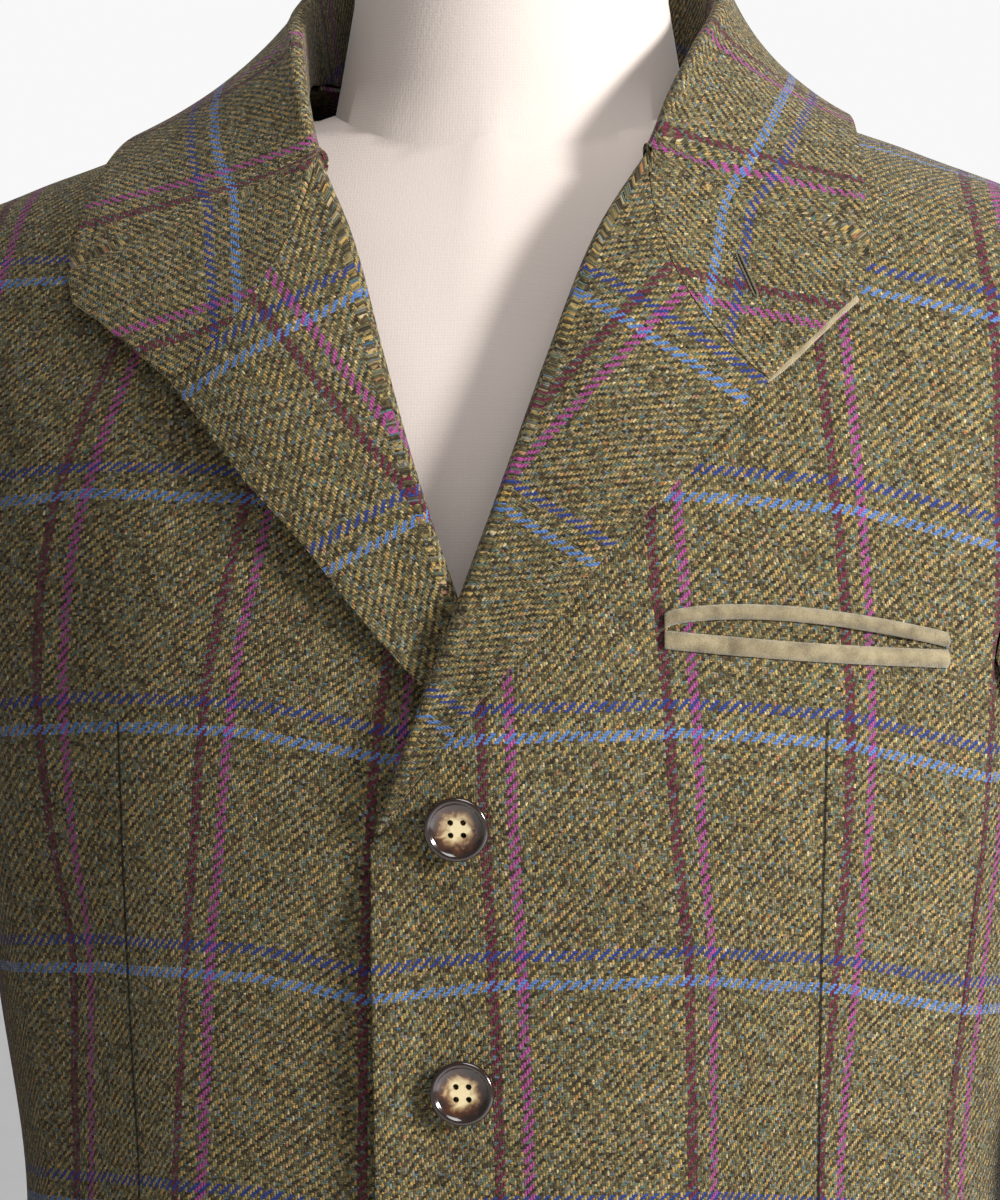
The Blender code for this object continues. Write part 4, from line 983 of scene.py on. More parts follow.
def sew_pair(part: str, lay: Callable[[Side], list], rests_on: str = "", **more: Any) -> None:
    """Build a piece on both sides of the body.

    Args:
        part: The piece's name, without its side.
        lay: Gives the grids of a side, as they lie on the wearer's left.
        rests_on: Piece that it lies on, without its side, or nothing for the form.
        **more: Other fields of the shell.
    """
    for side in Side:
        grids = lay(side)
        if side is Side.RIGHT:
            grids = [mirrored(grid) for grid in grids]
        if rests_on:
            more["rests_on"] = (f"{rests_on}_{side.word}",)
        node = f"{part}_{side.word}"
        Shell(f"cloth_{node}", TWEED, (node,), *grids, **more).build()


def select_only(thing: bpy.types.Object) -> None:
    """Make one object the active and only selected one."""
    bpy.ops.object.select_all(action="DESELECT")
    thing.select_set(True)
    bpy.context.view_layer.objects.active = thing


def linked(name: str, data: Any) -> bpy.types.Object:
    """Link an object with its data to the scene, selected and active."""
    thing = bpy.data.objects.new(name, data)
    bpy.context.scene.collection.objects.link(thing)
    select_only(thing)
    return thing


def combine(thing: bpy.types.Object, other: bpy.types.Object, **settings: str) -> None:
    """Add or cut another object, which is used up."""
    select_only(thing)
    step = thing.modifiers.new("combine", "BOOLEAN")
    for name, value in settings.items():
        setattr(step, name, value)
    step.object = other
    bpy.ops.object.modifier_apply(modifier=step.name)
    bpy.data.objects.remove(other, do_unlink=True)


def finish_piece(thing: bpy.types.Object, finish: Finish, replaces: Sequence[str] = ()) -> None:
    """Give a piece its finish, its body and the nodes it stands for.

    Args:
        thing: The piece, in its place.
        finish: The finish of all its faces.
        replaces: CAD nodes that it stands for.
    """
    thing.data.materials.clear()
    thing.data.materials.append(finish.material())
    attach(thing, BODY)
    if replaces:
        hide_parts(*replaces)
    LOG.info("made %s with %d faces", thing.name, len(thing.data.polygons))


def mirrored(grid: list[list[Any]]) -> list[list[Any]]:
    """Copy a grid to the other side of the body, with its outside kept outside."""
    if isinstance(grid[0][0], Vector):
        return [[Vector((-p.x, p.y, p.z)) for p in reversed(row)] for row in grid]
    return [list(reversed(row)) for row in grid]


def run_lengths(row: Sequence[Vector]) -> list[float]:
    """Length from the first point of a line to each of its points."""
    lengths = [0.0]
    for a, b in zip(row, row[1:]):
        lengths.append(lengths[-1] + (b - a).length)
    return lengths


def resampled(path: Sequence[Vector], count: int) -> list[Vector]:
    """Return count + 1 points at even lengths along a line."""
    lengths = run_lengths(path)
    points = []
    for i in range(count + 1):
        target = lengths[-1] * i / count
        k = max(n for n in range(len(path) - 1) if lengths[n] <= target)
        share = (target - lengths[k]) / (lengths[k + 1] - lengths[k])
        points.append(mix(path[k], path[k + 1], share))
    return points


def grid_normals(rows: Grid) -> Grid:
    """Directions out of a grid of points, from each point's neighbours."""
    last_i, last_j = len(rows) - 1, len(rows[0]) - 1
    normals = []
    for i in range(last_i + 1):
        line = []
        for j in range(last_j + 1):
            across = rows[i][min(j + 1, last_j)] - rows[i][max(j - 1, 0)]
            along = rows[min(i + 1, last_i)][j] - rows[max(i - 1, 0)][j]
            line.append(across.cross(along).normalized())
        normals.append(line)
    return normals


# ---------------------------------------------------------------- fronts, sides, backs
def levels_up(step: float, turns: int) -> list[float]:
    """Levels from the hem to the shoulder seam, with the break and armhole ends among them."""
    marks = (CUT.hem_z, CUT.vent_top_z, CUT.break_z, CUT.break_z + CUT.turn_rise,
             CUT.armhole_front_z, CUT.armhole_back_z, TRUNK.chest_z)
    levels = []
    for low, high in zip(marks, marks[1:]):
        count = max(round((high - low) / step), 1)
        levels += [mix(low, high, i / count) for i in range(count)]
    return levels + [TRUNK.chest_z + t for t in even(turns)]


@dataclass
class Fronts:
    """Left front over right front, each with its dart and its pick-stitched edge."""

    row_step: float = 0.0065
    cap_rows: int = 44
    columns: int = 64
    crowding: float = 1.25

    def lay(self, side: Side) -> list:
        """Outer and inner points, cloth, edge and dart maps of a front."""
        levels = levels_up(self.row_step, self.cap_rows)
        rows = []
        for level in levels:
            inner_x = CUT.front_inner_x(level)
            outer_x = CUT.armhole_x(level, False) - CUT.seam_gap / 2
            row = []
            for share in crowded(self.columns, self.crowding):
                x = mix(inner_x, outer_x, share)
                here = CUT.hem_level(x, level)
                if level == levels[-1]:
                    here -= CUT.shoulder_cut
                z = TRUNK.point(x, here, False).z
                lift = CUT.lift(x, z, side) - POCKET.sink(x, z, side)
                dart = (x - straight(CUT.dart_x, z), z - CUT.dart_top_z)
                row.append((*CUT.faces(x, here, False, lift), CHECK.front(x, here, side), dart))
            gone = smooth(CUT.break_z - 0.004, CUT.break_z, level) * FAR
            lengths = run_lengths([point[0] for point in row])
            rows.append([(outer, inner, cloth, (length + gone, cloth[1]), dart)
                         for (outer, inner, cloth, dart), length in zip(row, lengths)])
        return laid_out(rows)

    def build(self) -> None:
        """Build both fronts."""
        sew_pair("front", self.lay)


@dataclass
class SidePanels:
    """Panel under each arm, from hem to armhole."""

    rows: int = 84
    columns: int = 26
    inset: float = 0.0008

    def lay(self, side: Side) -> list:
        """Outer and inner points and cloth map of a panel."""
        rows = []
        for rise in even(self.rows):
            places = []
            for share in even(self.columns):
                z = mix(CUT.hem_z, CUT.underarm(share), rise)
                place = mix(self.inset, 1 - self.inset, share)
                places.append((TRUNK.side_point(place, z), TRUNK.side_point(place, z, -CUT.cloth)))
            first = places[0][0].z
            seam_x = TRUNK.seam_share * TRUNK.section(round(first, 6)).half_width
            start = CHECK.front(seam_x, first, side)[0]
            row = []
            for (outer, inner), length in zip(places, run_lengths([pair[0] for pair in places])):
                cloth = (start + side.value * length, CHECK.front(seam_x, outer.z, side)[1])
                row.append((outer, inner, cloth))
            rows.append(row)
        return laid_out(rows)

    def build(self) -> None:
        """Build both panels."""
        sew_pair("side", self.lay)


@dataclass
class Backs:
    """Two backs with a seam down the middle and one vent."""

    row_step: float = 0.008
    cap_rows: int = 36
    columns: int = 46
    crowding: float = 1.2
    vent_sink: float = 0.0012
    cockle: float = 0.0009
    check_middle_z: float = 1.2546
    check_ease: float = 1.04

    def lay(self, side: Side) -> list:
        """Outer and inner points and cloth map of a back."""
        tucked = side is Side.RIGHT
        levels = levels_up(self.row_step, self.cap_rows)
        rows = []
        for level in levels:
            outer_x = CUT.armhole_x(level, True) - CUT.seam_gap / 2
            vent = tucked * (1 - smooth(CUT.vent_top_z - 0.03, CUT.vent_top_z, level))
            tuck = tucked * (1 - smooth(CUT.vent_top_z + 0.02, CUT.vent_top_z + 0.07, level))
            inner_x = CUT.seam_gap / 2 - CUT.vent_lap * vent
            row = []
            for share in crowded(self.columns, self.crowding):
                x = mix(inner_x, outer_x, share)
                here = level
                if level > TRUNK.chest_z:
                    here = TRUNK.chest_z + (level - TRUNK.chest_z) * CUT.neckline_turn(x)
                if level == levels[-1]:
                    here -= CUT.shoulder_cut
                sink = (CUT.cloth + self.vent_sink) * tuck * (1 - smooth(0.012, 0.032, x))
                z = TRUNK.point(x, here, True).z
                drape = self.cockle * ripple(x, z, (14, 9), 5.0 * side.value) * smooth(0.0, 0.05, x)
                height = CHECK.length(x, here, True) - CHECK.length(x, self.check_middle_z, True)
                cloth = (-side.value * x * self.check_ease, CHECK.eased(height))
                row.append((*CUT.faces(x, here, True, drape - sink), cloth))
            rows.append(row[::-1])
        return laid_out(rows)

    def build(self) -> None:
        """Build both backs."""
        sew_pair("back", self.lay)


# ---------------------------------------------------------------- sleeves
@dataclass
class Sleeves:
    """Two-piece sleeves set into the armholes, with a roped head and elbow creases."""

    sides: int = 84
    seams: Pair = (9 / 28, 19 / 28)     # share of the ring where the under sleeve lies
    clear: float = 0.0014
    seam_cut: float = 0.0003
    check_from_cuff: float = 0.442      # puts the check level with the fronts'
    check_shift: float = 0.02
    elbow_z: float = 1.035
    elbow_reach: float = 0.055
    elbow_fold: float = 0.0022
    long_fold: float = 0.0012
    small_fold: float = 0.0018
    fold_step: float = 0.0105
    reach: float = 1.05             # how strongly the head's curve holds its direction
    cap_points: int = 30
    under_points: int = 36
    head_rows: int = 22
    arm_rows: int = 70
    rows: tuple[tuple[float, ...], ...] = (
        (0.825, 0.290, -0.046, 0.0450, 0.0500),
        (0.930, 0.280, -0.022, 0.0475, 0.0560),
        (1.030, 0.272, -0.004, 0.0500, 0.0620),
        (1.120, 0.264, 0.004, 0.0510, 0.0670),
        (1.215, 0.260, 0.006, 0.0510, 0.0715),
    )

    def turns(self) -> list[float]:
        """Angles round the sleeve, from the outside forwards."""
        return [2 * math.pi * i / self.sides for i in range(self.sides)]

    def armhole_loop(self) -> list[Vector]:
        """Points round the wearer's left armhole, from the shoulder forwards and round."""
        middle = -CUT.cloth / 2
        turns = even(self.cap_points)
        levels = [(TRUNK.chest_z + turn, False) for turn in reversed(turns)]
        levels += [(TRUNK.chest_z - 0.010, False), (TRUNK.chest_z - 0.020, False)]
        path = [TRUNK.at(CUT.armhole_x(z, back), z, back, middle) for z, back in levels]
        path += [TRUNK.side_point(share, CUT.underarm(share), middle) for share in even(self.under_points)]
        levels = [(TRUNK.chest_z + turn, True) for turn in turns]
        path += [TRUNK.at(CUT.armhole_x(z, back), z, back, middle) for z, back in levels]
        return resampled(path, self.sides)[:-1]

    def creases(self, turn: float, z: float) -> float:
        """Folds of the hanging sleeve: short ones at the inside of the elbow."""
        inside = max(math.cos(turn - math.pi / 2), 0.0)
        elbow = bump(0.0, z, (0.0, self.elbow_z), (1.0, self.elbow_reach))
        fold = math.sin((z - self.elbow_z) / self.fold_step + 1.1 * math.cos(turn))
        long_fold = math.sin(2.0 * turn + 9 * z) * self.long_fold
        small = ripple(math.cos(turn), math.sin(turn), (2, 2), z * 13) * self.small_fold
        return self.elbow_fold * inside * elbow * fold + long_fold + small

    def ring(self, z: float) -> list[Vector]:
        """Oval section of the sleeve, from the outside forwards and round."""
        x, y, half_width, half_depth = spline(self.rows, z)
        lean = spline(self.rows, max(z - 0.01, self.rows[0][0]))
        axis = Vector((x - lean[0], y - lean[1], 0.01)).normalized()
        points = []
        for turn in self.turns():
            grow = self.creases(turn, z) * smooth(1.215, 1.150, z)
            dx = (half_width + grow) * math.cos(turn)
            dy = -(half_depth + grow) * math.sin(turn)
            dz = -(axis.x * dx + axis.y * dy) / axis.z
            points.append(Vector((x + dx, y + dy, z + dz)))
        return points

    def rings(self) -> Grid:
        """Rings of the middle of the cloth, from the armhole to the cuff."""
        loop = self.armhole_loop()
        top = self.rows[-1][0]
        first, second = self.ring(top), self.ring(top - 0.004)
        rings: Grid = [[] for _ in range(self.head_rows + 1)]
        for turn, seam, arm, below in zip(self.turns(), loop, first, second):
            sine, cosine = math.sin(turn), math.cos(turn)
            leave = Vector((0.60 + 0.42 * cosine, -0.32 * sine, -0.62 + 0.50 * cosine)).normalized()
            arrive = (below - arm).normalized()
            outward = Vector((CUT.cloth, 0.0, 0.0)) * max(-cosine, 0.0)
            start = seam + leave * self.clear + outward
            reach = self.reach * (arm - seam).length
            for ring, t in zip(rings, even(self.head_rows)):
                ring.append(hermite(start, arm, leave * reach, arrive * reach, t))
        for share in even(self.arm_rows)[1:]:
            rings.append(self.ring(mix(top, self.rows[0][0], share)))
        return rings

    def wall(self, rings: Grid, lift: float) -> Grid:
        """Move closed rings out along the surface that they lie on."""
        last = len(rings) - 1
        moved = []
        for k, ring in enumerate(rings):
            above, below = rings[max(k - 1, 0)], rings[min(k + 1, last)]
            row = []
            for i, point in enumerate(ring):
                around = ring[(i + 1) % len(ring)] - ring[i - 1]
                row.append(point + around.cross(below[i] - above[i]).normalized() * lift)
            moved.append(row)
        return moved

    def build(self) -> None:
        """Build top and under sleeve on each side."""
        middle = self.rings()
        walls = [self.wall(middle, CUT.cloth / 2), self.wall(middle, -CUT.cloth / 2)]
        front, hind = (round(share * self.sides) for share in self.seams)
        lengths = [run_lengths(line) for line in zip(*middle)]

        def lay(side: Side, points: Sequence[int]) -> list:
            """Outer and inner points and cloth map of a sleeve's part."""
            grids: list[list] = []
            for rings in walls:
                rows = []
                for ring in reversed(rings):
                    row = [ring[i].copy() for i in points]
                    row[0] += (row[1] - row[0]).normalized() * self.seam_cut
                    row[-1] += (row[-2] - row[-1]).normalized() * self.seam_cut
                    rows.append(row[::-1])
                grids.append(rows)
            cloth = []
            for k in reversed(range(len(middle))):
                around = run_lengths([middle[k][i] for i in points])
                row = []
                for a, i in zip(around, points):
                    u = -side.value * (a - around[-1] / 2) + self.check_shift
                    up = lengths[i][-1] - lengths[i][k] - self.check_from_cuff
                    row.append((u, CHECK.eased(up)))
                cloth.append(row[::-1])
            return [*grids, cloth]

        top = [i % self.sides for i in range(hind, front + self.sides + 1)]
        under = range(front, hind + 1)
        sew_pair("sleeve_top", lambda side: lay(side, top), "front")
        sew_pair("sleeve_under", lambda side: lay(side, under), "front")


# ---------------------------------------------------------------- lapels
@dataclass
class Lapels:
    """Lapels turned out over the fronts, up to the straight gorge seam."""

    rows: int = 84
    columns: int = 30
    leaf_lift: float = 0.0058
    least_lift: float = 0.0014      # at the foot of the lapel
    stand_off: float = 0.0036       # of the free edge, half way up
    swell: float = 0.0030           # of the leaf between fold and edge
    cockle: float = 0.0012
    foot_turn: float = 0.55         # share of the fold's radius at the foot
    wrap: float = 1.5               # cloth that goes round the fold, in radii
    stitch_run: float = 0.26        # length of the free edge
    gorge_bend: Pair = (0.0635, 1.400)
    edge: tuple[Pair, ...] = (
        (-0.0290, 1.2085), (0.0020, 1.2480), (0.0335, 1.2838), (0.0565, 1.3123),
        (0.0764, 1.3327), (0.0960, 1.3560), (0.1070, 1.3690),
    )
    lay_left: FlatLay = FlatLay((0.0488, 1.3813), (0.67, 0.743), (0.0695, 1.392),
                                (0.85, -0.527), 1.1)
    lay_right: FlatLay = FlatLay((-0.0402, 1.3564), (-0.656, 0.755), (-0.070, 1.3948),
                                 (0.868, 0.497), 1.03)

    def line(self, rise: float) -> tuple[Vector, Vector, Vector]:
        """Fold point, bend and free edge point of one line across the lapel."""
        fold_z = mix(CUT.break_z + 0.004, CUT.gorge_z, rise)
        fold = Vector((CUT.roll_x(fold_z), fold_z))
        table = [(number, *place) for number, place in enumerate(self.edge)]
        edge = Vector(spline(table, rise * (len(self.edge) - 1)))
        bend = mix((fold + edge) / 2, Vector(self.gorge_bend), rise**4)
        return fold, bend, edge

    def row(self, rise: float, side: Side) -> list[tuple[Vector, Vector, Pair]]:
        """Points across the lapel on both faces, and where they lie seen from the front."""
        fold, bend, edge = self.line(rise)
        radius = CUT.turn_radius * mix(self.foot_turn, 1.0, smooth(0.0, 0.5, rise))
        way = (bend - fold).normalized()
        halves = (CUT.cloth / 2, -CUT.cloth / 2)
        row = []
        for turn in FOLD_TURNS:
            angle = math.radians(turn)
            faces = []
            for half in halves:
                out = -CUT.cloth / 2 + radius - (radius + half) * math.cos(angle)
                away = (radius + half) * math.sin(angle)
                x, z = fold.x + CUT.turn_radius - away * way.x, fold.y - away * way.y
                faces.append((CUT.on_front(x, z, side, out), x, z))
            wrap = (turn - 90) / 90 * radius * self.wrap
            (top, x, z), (under, _, _) = faces
            row.append((top, under, (x + wrap * way.x, z + wrap * way.y)))
        for share in crowded(self.columns, 1.15)[1:]:
            place = bezier(fold, bend, edge, share)
            x, z = place.x + CUT.turn_radius * (1 - share), place.y
            roll = -CUT.cloth / 2 + 2 * radius
            rest = mix(self.least_lift, self.leaf_lift - CUT.cloth / 2, rise**1.5)
            swell = self.swell * math.sin(math.pi * share) ** 1.2 * smooth(0.15, 0.8, rise)
            swell += self.cockle * ripple(x, z, (22, 22), 2.0 * side.value)
            out = mix(roll, rest, smooth(0.0, 1.0, share)) + max(swell, -0.0004)
            out += self.stand_off * smooth(0.35, 1.0, share) * math.sin(math.pi * rise)
            top, under = (CUT.on_front(x, z, side, out + half) for half in halves)
            row.append((top, under, (x, z)))
        return row

    def lay(self, side: Side) -> list:
        """Outer and inner points, cloth and edge maps of a lapel."""
        flat = self.lay_left if side is Side.LEFT else self.lay_right
        rows = []
        for rise in crowded(self.rows, 1.1):
            row = self.row(rise, side)
            lengths = run_lengths([point[0] for point in row])
            rows.append([
                (top, under, flat.read(side.value * x, z), (lengths[-1] - a, rise * self.stitch_run))
                for (top, under, (x, z)), a in zip(row, lengths)
            ])
        return laid_out(rows)

    def build(self) -> None:
        """Build both lapels."""
        sew_pair("lapel", self.lay, "front", held="folded")


# ---------------------------------------------------------------- collar
def trunk_skin() -> BVHTree:
    """Search tree of the trunk's outer surface, with the fronts' lift."""
    columns, turns, past_shoulder = 30, 28, 0.004
    corners: list[Vector] = []
    faces = []
    levels = [TRUNK.chest_z - 0.10 + 0.01 * i for i in range(10)]
    levels += [TRUNK.chest_z + turn for turn in even(turns)]
    across = [share * (TRUNK.shoulder_x + past_shoulder) for share in even(columns)]
    for side in Side:
        for back in (False, True):
            grid = []
            for level in levels:
                row = []
                for x in across:
                    lift = 0.0 if back else CUT.lift(x, TRUNK.point(x, level, back).z, side)
                    row.append(TRUNK.at(x, level, back, lift))
                grid.append(row[::-1] if back else row)
            grid = grid if side is Side.LEFT else mirrored(grid)
            faces += grid_quads(len(grid), len(grid[0]), len(corners))
            corners += [point for row in grid for point in row]
    return BVHTree.FromPolygons(corners, faces)


@dataclass
class Collar:
    """Collar in one piece, the melton that lines its leaf, and its buttonhole."""

    lapels: Lapels = field(default_factory=Lapels)
    leaf_lift: float = 0.0058
    shift: float = -0.006
    neck_share: float = 0.58
    corner: Pair = (0.1425, 1.400)
    leaf_steps: int = 26
    seam_share: float = 0.68        # of the leaf's steps, that lie along the gorge seam
    rings: int = 60
    fan_rows: int = 16
    last_ring: float = 0.97
    melton: float = 0.0012
    melton_clear: float = 0.0002
    melton_shows: float = 0.0016
    gorge_gap: float = 0.0004
    gorge_rise: tuple[float, ...] = (-0.1, 0.4, 0.9)
    stand_shares: tuple[float, ...] = (0.0, 0.35, 0.7)
    gorge_shares: tuple[float, ...] = (0.2, 0.5, 0.8)
    leaf_sag: float = 0.004
    rows: tuple[tuple[float, ...], ...] = (
        (-0.22, -0.0430, 0.0620, 1.5380, -0.0560, 0.0800, 1.4580),
        (0.00, 0.0000, 0.0700, 1.5410, 0.0000, 0.0920, 1.4550),
        (0.22, 0.0430, 0.0620, 1.5380, 0.0560, 0.0800, 1.4580),
        (0.42, 0.0720, 0.0370, 1.5300, 0.0990, 0.0580, 1.4630),
        (0.58, 0.0800, -0.0060, 1.5160, 0.1260, 0.0060, 1.4680),
        (0.72, 0.0750, -0.0480, 1.4960, 0.1350, -0.0350, 1.4490),
        (0.86, 0.0670, -0.0750, 1.4730, 0.1400, -0.0600, 1.4230),
        (1.00, 0.0575, -0.0830, 1.4510, 0.1425, -0.0740, 1.4000),
    )
    warp_start: float = 0.010
    warp_scale: Pair = (1.077, 1.086)       # towards the wearer's right, and left
    weft_middle: float = 0.050
    slit_ends: tuple[Pair, Pair] = ((0.0955, 1.4165), (0.1030, 1.4010))
    slit_half: float = 0.0012
    slit_lift: float = 0.0003

    def nearest(self, skin: BVHTree, point: Vector) -> tuple[Vector, Vector]:
        """Nearest point of the trunk and the direction out of it."""
        return skin.find_nearest(point)[:2]

    def settle(self, skin: BVHTree, point: Vector) -> Vector:
        """Move a point out until the leaf clears the trunk."""
        near, normal = self.nearest(skin, point)
        clear = (point - near).dot(normal) >= self.leaf_lift
        return point if clear else near + normal * self.leaf_lift

    def neckline(self, share: float, side: Side) -> tuple[Vector, Vector]:
        """Point on the neckline's edge and the direction out of the cloth there."""
        if share <= self.neck_share:
            x = TRUNK.neck_side[0] * math.sin(share / self.neck_share * math.pi / 2)
            level = TRUNK.chest_z + CUT.neckline_turn(x)
            return TRUNK.at(x, level, True, -CUT.cloth / 2), TRUNK.normal(x, level, True)
        front = (share - self.neck_share) / (1 - self.neck_share)
        z = mix(TRUNK.neck_side[1] - 0.0005, CUT.gorge_z, front)
        x = CUT.roll_x(z) + CUT.turn_radius
        point = CUT.on_front(x, z, side, -CUT.cloth / 2)
        return point, TRUNK.normal(x, TRUNK.level_at(x, z), False)

    def gorge_row(self, skin: BVHTree, side: Side) -> list[Vector]:
        """Visible face of the collar's end: up the gorge seam, then out to the corner."""
        below, seam = ([point[0] for point in self.lapels.row(rise, side)]
                       for rise in (self.last_ring, 1.0))
        upward = (seam[0] - below[0]).normalized() * self.gorge_gap
        seam = [point + upward for point in seam]
        fold, seam = seam[:len(FOLD_TURNS)], seam[len(FOLD_TURNS):]
        first = mix(fold[0], self.neckline(1.0, side)[0], 0.5)
        x = self.corner[0] + self.shift * side.value
        corner = CUT.on_front(x, self.corner[1], side, self.leaf_lift)
        count = round(self.leaf_steps * self.seam_share)
        leaf = resampled(seam, count)[1:]
        leaf += [self.settle(skin, mix(seam[-1], corner, step))
                 for step in even(self.leaf_steps - count)[1:]]
        return [mix(first, fold[0], t) for t in self.gorge_shares] + fold + leaf

    def ring(self, skin: BVHTree, share: float, side: Side) -> list[Vector]:
        """Visible face from the seam over the fold to the free edge."""
        fold_x, fold_y, fold_z, edge_x, edge_y, edge_z = spline(self.rows, share)
        base, normal = self.neckline(share, side)
        fold = Vector((fold_x, fold_y, fold_z))
        shift = self.shift * side.value * smooth(0.2, 0.6, share)
        near, direction = self.nearest(skin, Vector((edge_x + shift, edge_y, edge_z)))
        edge = near + direction * self.leaf_lift
        radius = CUT.turn_radius + CUT.cloth / 2
        gorge = smooth(0.78, 1.0, share)
        up = mix((fold - base).normalized(), Vector(self.gorge_rise), gorge).normalized()
        outward = mix(Vector((fold.x, fold.y, 0.0)).normalized(), normal, gorge)
        outward = (outward - up * outward.dot(up)).normalized()
        root = base + up * (CUT.cloth / 2 + CUT.seam_gap) - outward * CUT.cloth / 2
        neck_face = fold - outward * radius - up * radius
        points = [mix(root, neck_face, t) for t in self.stand_shares]
        for angle in map(math.radians, FOLD_TURNS):
            out = outward * radius * (1 - math.cos(angle))
            points.append(neck_face + out + up * radius * math.sin(angle))
        start = neck_face + outward * 2 * radius
        bend = (start + edge) / 2 - Vector((0, 0, self.leaf_sag))
        bend -= outward * self.leaf_sag * (1 - gorge)
        leaf = [bezier(start, bend, edge, t) for t in even(self.leaf_steps)[1:]]
        return points + [self.settle(skin, point) for point in leaf]

    def half(self, skin: BVHTree, side: Side) -> Grid:
        """Rows of half of the collar, from the middle of the back to the gorge."""
        rows = [self.ring(skin, self.last_ring * share, side) for share in even(self.rings)]
        last, end = rows[-1], self.gorge_row(skin, side)
        stand = len(end) - self.leaf_steps
        for step in range(1, self.fan_rows):
            row = [mix(a, b, step / self.fan_rows) for a, b in zip(last, end)]
            rows.append(row[:stand] + [self.settle(skin, point) for point in row[stand:]])
        return rows + [end]

    def slit(self, face: Grid) -> list[Vector]:
        """Middle line of the buttonhole in the left end of the leaf."""
        points = [point for row in face for point in row]
        skin = BVHTree.FromPolygons(points, grid_quads(len(face), len(face[0])))
        line = []
        for t in even(6):
            x, z = (mix(a, b, t) for a, b in zip(*self.slit_ends))
            hit = skin.ray_cast(Vector((x, -1.0, z)), Vector((0.0, 1.0, 0.0)))[0]
            line.append(hit + Vector((0.0, -self.slit_lift, 0.0)))
        return line

    def laid_flat(self, face: Grid, i: int, last: int, across: list[float], scale: float) -> list[Pair]:
        """Map a row near the gorge, on the plane of the last row that runs square.

        Args:
            face: The collar's visible face.
            i: Number of the row.
            last: Number of the last square row before the gorge.
            across: Length across the row at each of its points.
            scale: Stretch of the check along the collar.

        Returns:
            Metres along weft and warp at each point.
        """
        core, leaf = len(face[0]) - self.leaf_steps // 2, len(face[0]) - self.leaf_steps
        base = face[last]
        side = 1 if i > last else -1
        run = (base[core] - face[last - side][core]).normalized() * side
        out = base[-1] - base[leaf]
        out = (out - run * out.dot(run)).normalized()
        lengths = run_lengths([row[core] for row in face])
        start = (lengths[last] - lengths[len(face) // 2]) * scale + self.warp_start
        middle_v = run_lengths(base)
        start_v = middle_v[core] - middle_v[FOLD_POINT] - self.weft_middle + CHECK.stripe_middle
        pairs = []
        for j in range(len(face[0])):
            away = face[i][max(j, leaf)] - base[core]
            short = min(across[j] - across[leaf], 0.0)
            pairs.append((start + away.dot(run) * scale, start_v + away.dot(out) + short))
        return pairs

    def laid(self, face: Grid, i: int, across: list[float], middle_u: float) -> list[Pair]:
        """Map one row, square to the line that runs down the middle of the leaf.

        Args:
            face: The collar's visible face.
            i: Number of the row.
            across: Length across the row at each of its points.
            middle_u: Length along the leaf's middle line, from the middle of the back.

        Returns:
            Metres along weft and warp at each point.
        """
        scale = self.warp_scale[0 if middle_u < 0 else 1]
        last = min(max(i, self.fan_rows), len(face) - 1 - self.fan_rows)
        if i != last:
            return self.laid_flat(face, i, last, across, scale)
        row = face[i]
        core, leaf = len(row) - self.leaf_steps // 2, len(row) - self.leaf_steps
        run = (face[min(i + 1, len(face) - 1)][core] - face[max(i - 1, 0)][core]).normalized()
        start = self.warp_start + middle_u * scale
        pairs = []
        for j in range(len(row)):
            reach = across[j] - across[core]
            chord = row[max(j, leaf)] - row[core]
            skew = chord.normalized().dot(run) * math.copysign(1.0, reach) if chord.length else 0.0
            v = across[core] - across[FOLD_POINT] - self.weft_middle
            v += reach * math.sqrt(max(1 - skew**2, 0.0))
            pairs.append((start + reach * skew, v + CHECK.stripe_middle))
        return pairs

    def build(self, skin: BVHTree) -> None:
        """Build the collar and its undercollar."""
        left = self.half(skin, Side.LEFT)
        right = [[Vector((-p.x, p.y, p.z)) for p in row] for row in self.half(skin, Side.RIGHT)[1:]]
        face = right[::-1] + left
        wide = len(face[0])
        normals = grid_normals(face)
        lines = [run_lengths(line) for line in zip(*face)]
        core = wide - self.leaf_steps // 2
        past = wide - round(self.leaf_steps * (1 - self.seam_share))
        cloth, edge = [], []
        for i, row in enumerate(face):
            across = run_lengths(row)
            cloth.append(self.laid(face, i, across, lines[core][i] - lines[core][len(right)]))
            to_end = [min(line[i], line[-1] - line[i]) for line in lines]
            edge.append([
                (min(across[-1] - across[j], to_end[j] if j > past else FAR), cloth[-1][j][0])
                for j in range(wide)
            ])

        def below(depth: float, first: int = 0) -> Grid:
            """Points under the visible face, from a column on."""
            return [[point + out * depth for point, out in zip(row[first:], line[first:])]
                    for row, line in zip(face, normals)]

        Shell("cloth_collar", TWEED, ("collar",), below(0.0), below(CUT.cloth), cloth, edge,
              held="folded", rests_on=("form_torso", "back_left")).build()
        worked_slit("buttonhole_collar", self.slit(face), self.slit_half)
        leaf = wide - self.leaf_steps + 2
        top = below(CUT.cloth + self.melton_clear, leaf)
        under = below(CUT.cloth + self.melton_clear + self.melton, leaf)
        count = round(self.leaf_steps * self.seam_share) - 2
        for grid in (top, under):
            last = grid[-1]
            run = last[-1] - last[count - 1]
            out = Vector((run.z, 0.0, -run.x)).normalized()
            for j in range(count - 1, len(last)):
                last[j] += out * self.melton_shows * smooth(0.0, 3.0, j - count + 2)
        flat = [[(p.x, p.z) for p in row] for row in top]
        Shell("melton_undercollar", MELTON, ("undercollar",), top, under, flat,
              held="folded", rests_on=("collar",), soft_edge=0.0003).build()


